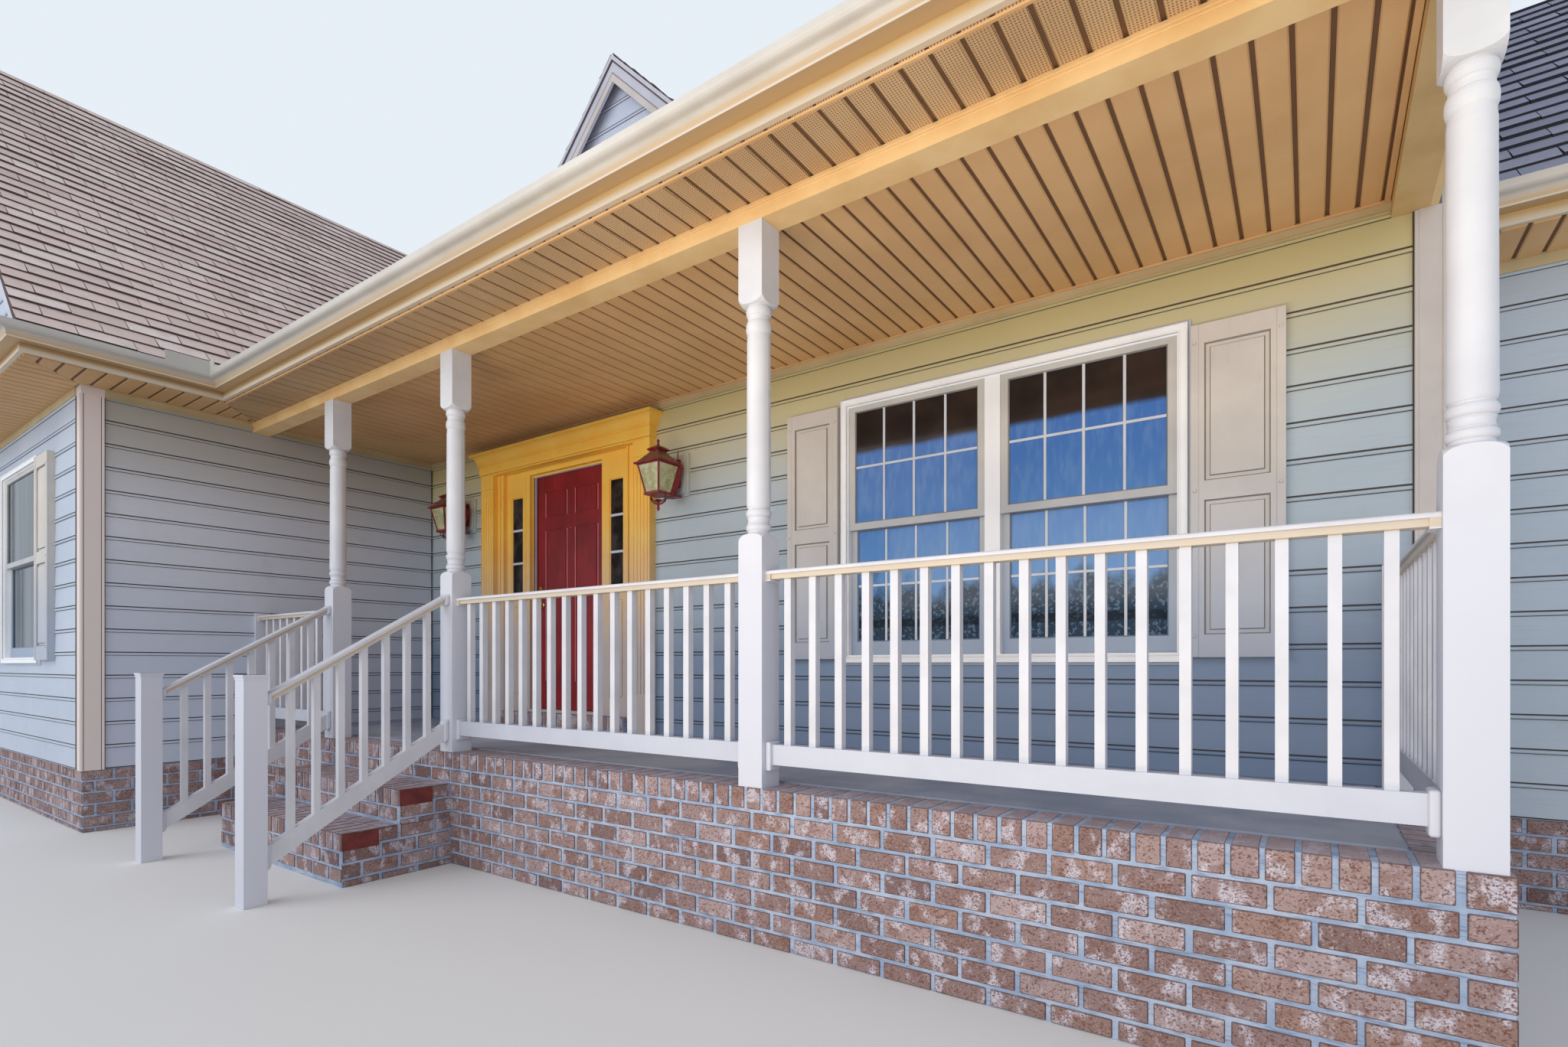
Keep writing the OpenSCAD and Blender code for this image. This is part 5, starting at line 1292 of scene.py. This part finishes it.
def rail_plates():
    """Plates that hold the ends of the bottom rails on the posts, and the stair railings' collars."""
    bm = bmesh.new()
    low, high, half = 0.739, 0.864, 0.040
    for x, side in ((0.8165, 1), (3.0175, -1), (3.1445, 1), (5.3455, -1), (-0.8165, -1)):
        box(bm, (x, -half, low), (x + side * 0.026, half, high))
    x = 5.4825 - 0.038
    for y0, y1 in ((POST_HALF, POST_HALF + 0.026), (WALL_Y - 0.045, WALL_Y - 0.019)):
        box(bm, (x - half, y0, low), (x + half, y1, high))
    for x in (-NEWEL_X, NEWEL_X):
        for y0, y1 in ((-POST_HALF - 0.026, -POST_HALF), (-1.040, -1.014)):
            for high, low, half in ((1.6245, 1.566, 0.0405), (0.866, 0.738, 0.031)):
                drop0, drop1 = STAIR_SLOPE * (y0 + POST_HALF), STAIR_SLOPE * (y1 + POST_HALF)
                prism(bm, [(x - half, y0, low + drop0), (x - half, y1, low + drop1),
                           (x - half, y1, high + drop1), (x - half, y0, high + drop0)], (2 * half, 0, 0))
    finish_piece("rail_plates", bm, WHITE, "white_paint", 0.008, 3)


def band(bm, start, end, high, low, step):
    """A board from start to end, between two heights over that line, carried along step."""
    start, end = Vector(start), Vector(end)
    above, below = Vector((0, 0, high)), Vector((0, 0, low))
    prism(bm, [start + above, end + above, end + below, start + below], step)


def dormer_edge():
    """Pale strips along the front edges of the dormer's roof, and the channel around its siding with a dark strip of
    painted shade beside it.
    """
    edge, channel, channel_shadow = new_meshes(3)
    peak = Vector((DORMER_X, DORMER_FRONT - 0.004, DORMER_PEAK + 0.002))
    inner = Vector((DORMER_X, WALL_Y - 0.0985, DORMER_WALL_PEAK - 0.156))
    for side in (-1, 1):
        band(edge, peak, peak + Vector((side * 1.3, 0, -1.3)), 0.004, -0.034, (0, 0.006, 0))
        foot = inner + Vector((side * 1.1, 0, -1.1))
        band(channel, inner, foot, 0.062, 0.0, (0, 0.003, 0))
        # painted shade: a dark strip beside the channel
        band(channel_shadow, inner, foot, 0.074, 0.062, (0, 0.004, 0))
    finish_piece("dormer_edge", edge, RAKE, "shingles")
    finish_piece("dormer_channel", channel, TRIM, "beige_vinyl")
    finish_piece("dormer_channel_shadow", channel_shadow, SHUTTER_LINE, "beige_vinyl")


def rake_trim():
    """The board under the roof's edge on the plain right side, and the soffit of the wing's gable."""
    rake, soffit = new_meshes(2)
    run, drop = BACK_Y - WALL_Y, 0.14
    z = FASCIA_TOP + PORCH_SLOPE * (WALL_Y - EAVE_Y) - 0.003
    rise = PORCH_SLOPE * run
    prism(rake, [(WALL_END, WALL_Y, z), (WALL_END, WALL_Y, z - drop), (WALL_END, BACK_Y, z - drop + rise),
                 (WALL_END, BACK_Y, z + rise)], (0.028, 0, 0))
    finish_piece("side_rake", rake, TRIM, "beige_vinyl", 0.002)
    x, y = -1.830, WING_Y - 0.001
    top = FASCIA_TOP + WING_EAVE_X - 0.0015
    band(soffit, (RIDGE_X, y, top - RIDGE_X), (x, y, top - x), 0.0, -0.010, (0, -0.372, 0))
    finish_piece("gable_soffit", soffit, ALMOND, "almond_trim")


def cut_ends():
    """Plain render over the eaves, wall ends and corner that the cuts leave open."""
    bm = bmesh.new()
    proud, z0, z1 = 0.0002, SOFFIT_Z + 0.001, FASCIA_TOP - 0.004
    for x, y0, y1, slope in ((ANNEX_END - 0.014, ANNEX_EAVE_Y + 0.001, ANNEX_Y + 0.125, 1.0),
                             (PARTY_X - proud, WING_EAVE_Y + 0.001, WING_Y, 0.5)):
        prism(bm, [(x, y0, z0), (x, y1, z0), (x, y1, z1 + slope * (y1 - y0)), (x, y0, z1)], (0.0142, 0, 0))
    box(bm, (ANNEX_END - 0.001, ANNEX_Y, 0.002), (ANNEX_END + proud, ANNEX_Y + 0.125, z0))
    box(bm, (WALL_END - 0.15, BACK_Y - 0.001, 0.002), (WALL_END + 0.03, BACK_Y + proud, 6.34))
    finish_piece("cut_ends", bm, RENDER, "party_wall")


for build in (porch_bricks, step_bricks, wall_bricks, siding, roofs, ridge_caps, ceilings, edge_strips, windows,
              sidelights, doorway, shutter_details, lanterns, newel_beads, corner_lines, rail_plates, dormer_edge,
              rake_trim, cut_ends):
    build()


# Floor, light and camera

def stage():
    """The pale floor, just under the porch."""
    bm = bmesh.new()
    bmesh.ops.create_grid(bm, x_segments=2, y_segments=2, size=40.0)
    mesh = bpy.data.meshes.new("floor")
    bm.to_mesh(mesh)
    bm.free()
    mesh.materials.append(mottled_paint("pale_floor", 0.9, 0.4, (232, 231, 229), (238, 237, 235)))
    floor = bpy.data.objects.new("floor", mesh)
    floor.location.z = -0.001
    scene.collection.objects.link(floor)


def world():
    """Soft blue-grey daylight, with a paler backdrop where it shows or is mirrored."""
    sky = bpy.data.worlds.new("studio")
    scene.world = sky
    sky.use_nodes = True
    tree = sky.node_tree
    back = tree.nodes["Background"]
    back.inputs["Strength"].default_value = 1.0
    rays = tree.nodes.new("ShaderNodeLightPath")
    blend = tree.nodes.new("ShaderNodeMix")
    blend.data_type = "RGBA"
    blend.inputs[6].default_value = (0.50, 0.55, 0.63, 1)
    blend.inputs[7].default_value = (0.80, 0.86, 0.93, 1)
    seen = rays.outputs["Is Camera Ray"]
    for ray in ("Is Glossy Ray", "Is Transmission Ray"):
        either = tree.nodes.new("ShaderNodeMath")
        either.operation = "MAXIMUM"
        tree.links.new(seen, either.inputs[0])
        tree.links.new(rays.outputs[ray], either.inputs[1])
        seen = either.outputs[0]
    tree.links.new(seen, blend.inputs[0])
    tree.links.new(blend.outputs[2], back.inputs["Color"])


def lamp(name, place, target, size, power, color, spread=180):
    """A rectangular area lamp that shines at a target."""
    data = bpy.data.lights.new(name, "AREA")
    data.shape = "RECTANGLE"
    data.size, data.size_y = size
    data.energy = power
    data.spread = math.radians(spread)
    data.color = color
    lamp_object = bpy.data.objects.new(name, data)
    lamp_object.location = place
    lamp_object.rotation_euler = (Vector(target) - Vector(place)).to_track_quat("-Z", "Y").to_euler()
    scene.collection.objects.link(lamp_object)


def camera():
    """The photo's wide view from the porch's right, fitted to its vanishing points."""
    data = bpy.data.cameras.new("camera")
    data.sensor_width = 36
    data.sensor_fit = "HORIZONTAL"
    data.lens = 17.307
    data.shift_y = 0.0901
    data.clip_end = 200
    view = bpy.data.objects.new("camera", data)
    view.location = (5.064, -2.6455, 1.195)
    view.rotation_euler = (math.radians(90), 0, math.radians(34.94))
    scene.collection.objects.link(view)
    scene.camera = view


stage()
world()
lamp("front_fill", (2.0, -14.0, 4.0), (1.5, 1.0, 2.6), (14, 2.4), 196, (1.0, 0.98, 0.95), 110)
lamp("high_key", (-4.0, -9.0, 8.0), (1.0, 0.0, 1.5), (7, 7), 320, (0.98, 0.98, 1.0))
lamp("right_key", (11.0, -5.0, 5.0), (4.0, 0.0, 2.0), (5, 5), 66, (1.0, 0.99, 0.98))
lamp("ceiling_glow", (3.8, -3.0, 0.2), (4.2, 0.5, 3.2), (4.0, 1.0), 46, (1.0, 0.85, 0.66), 110)
camera()
scene.view_settings.view_transform = "Standard"
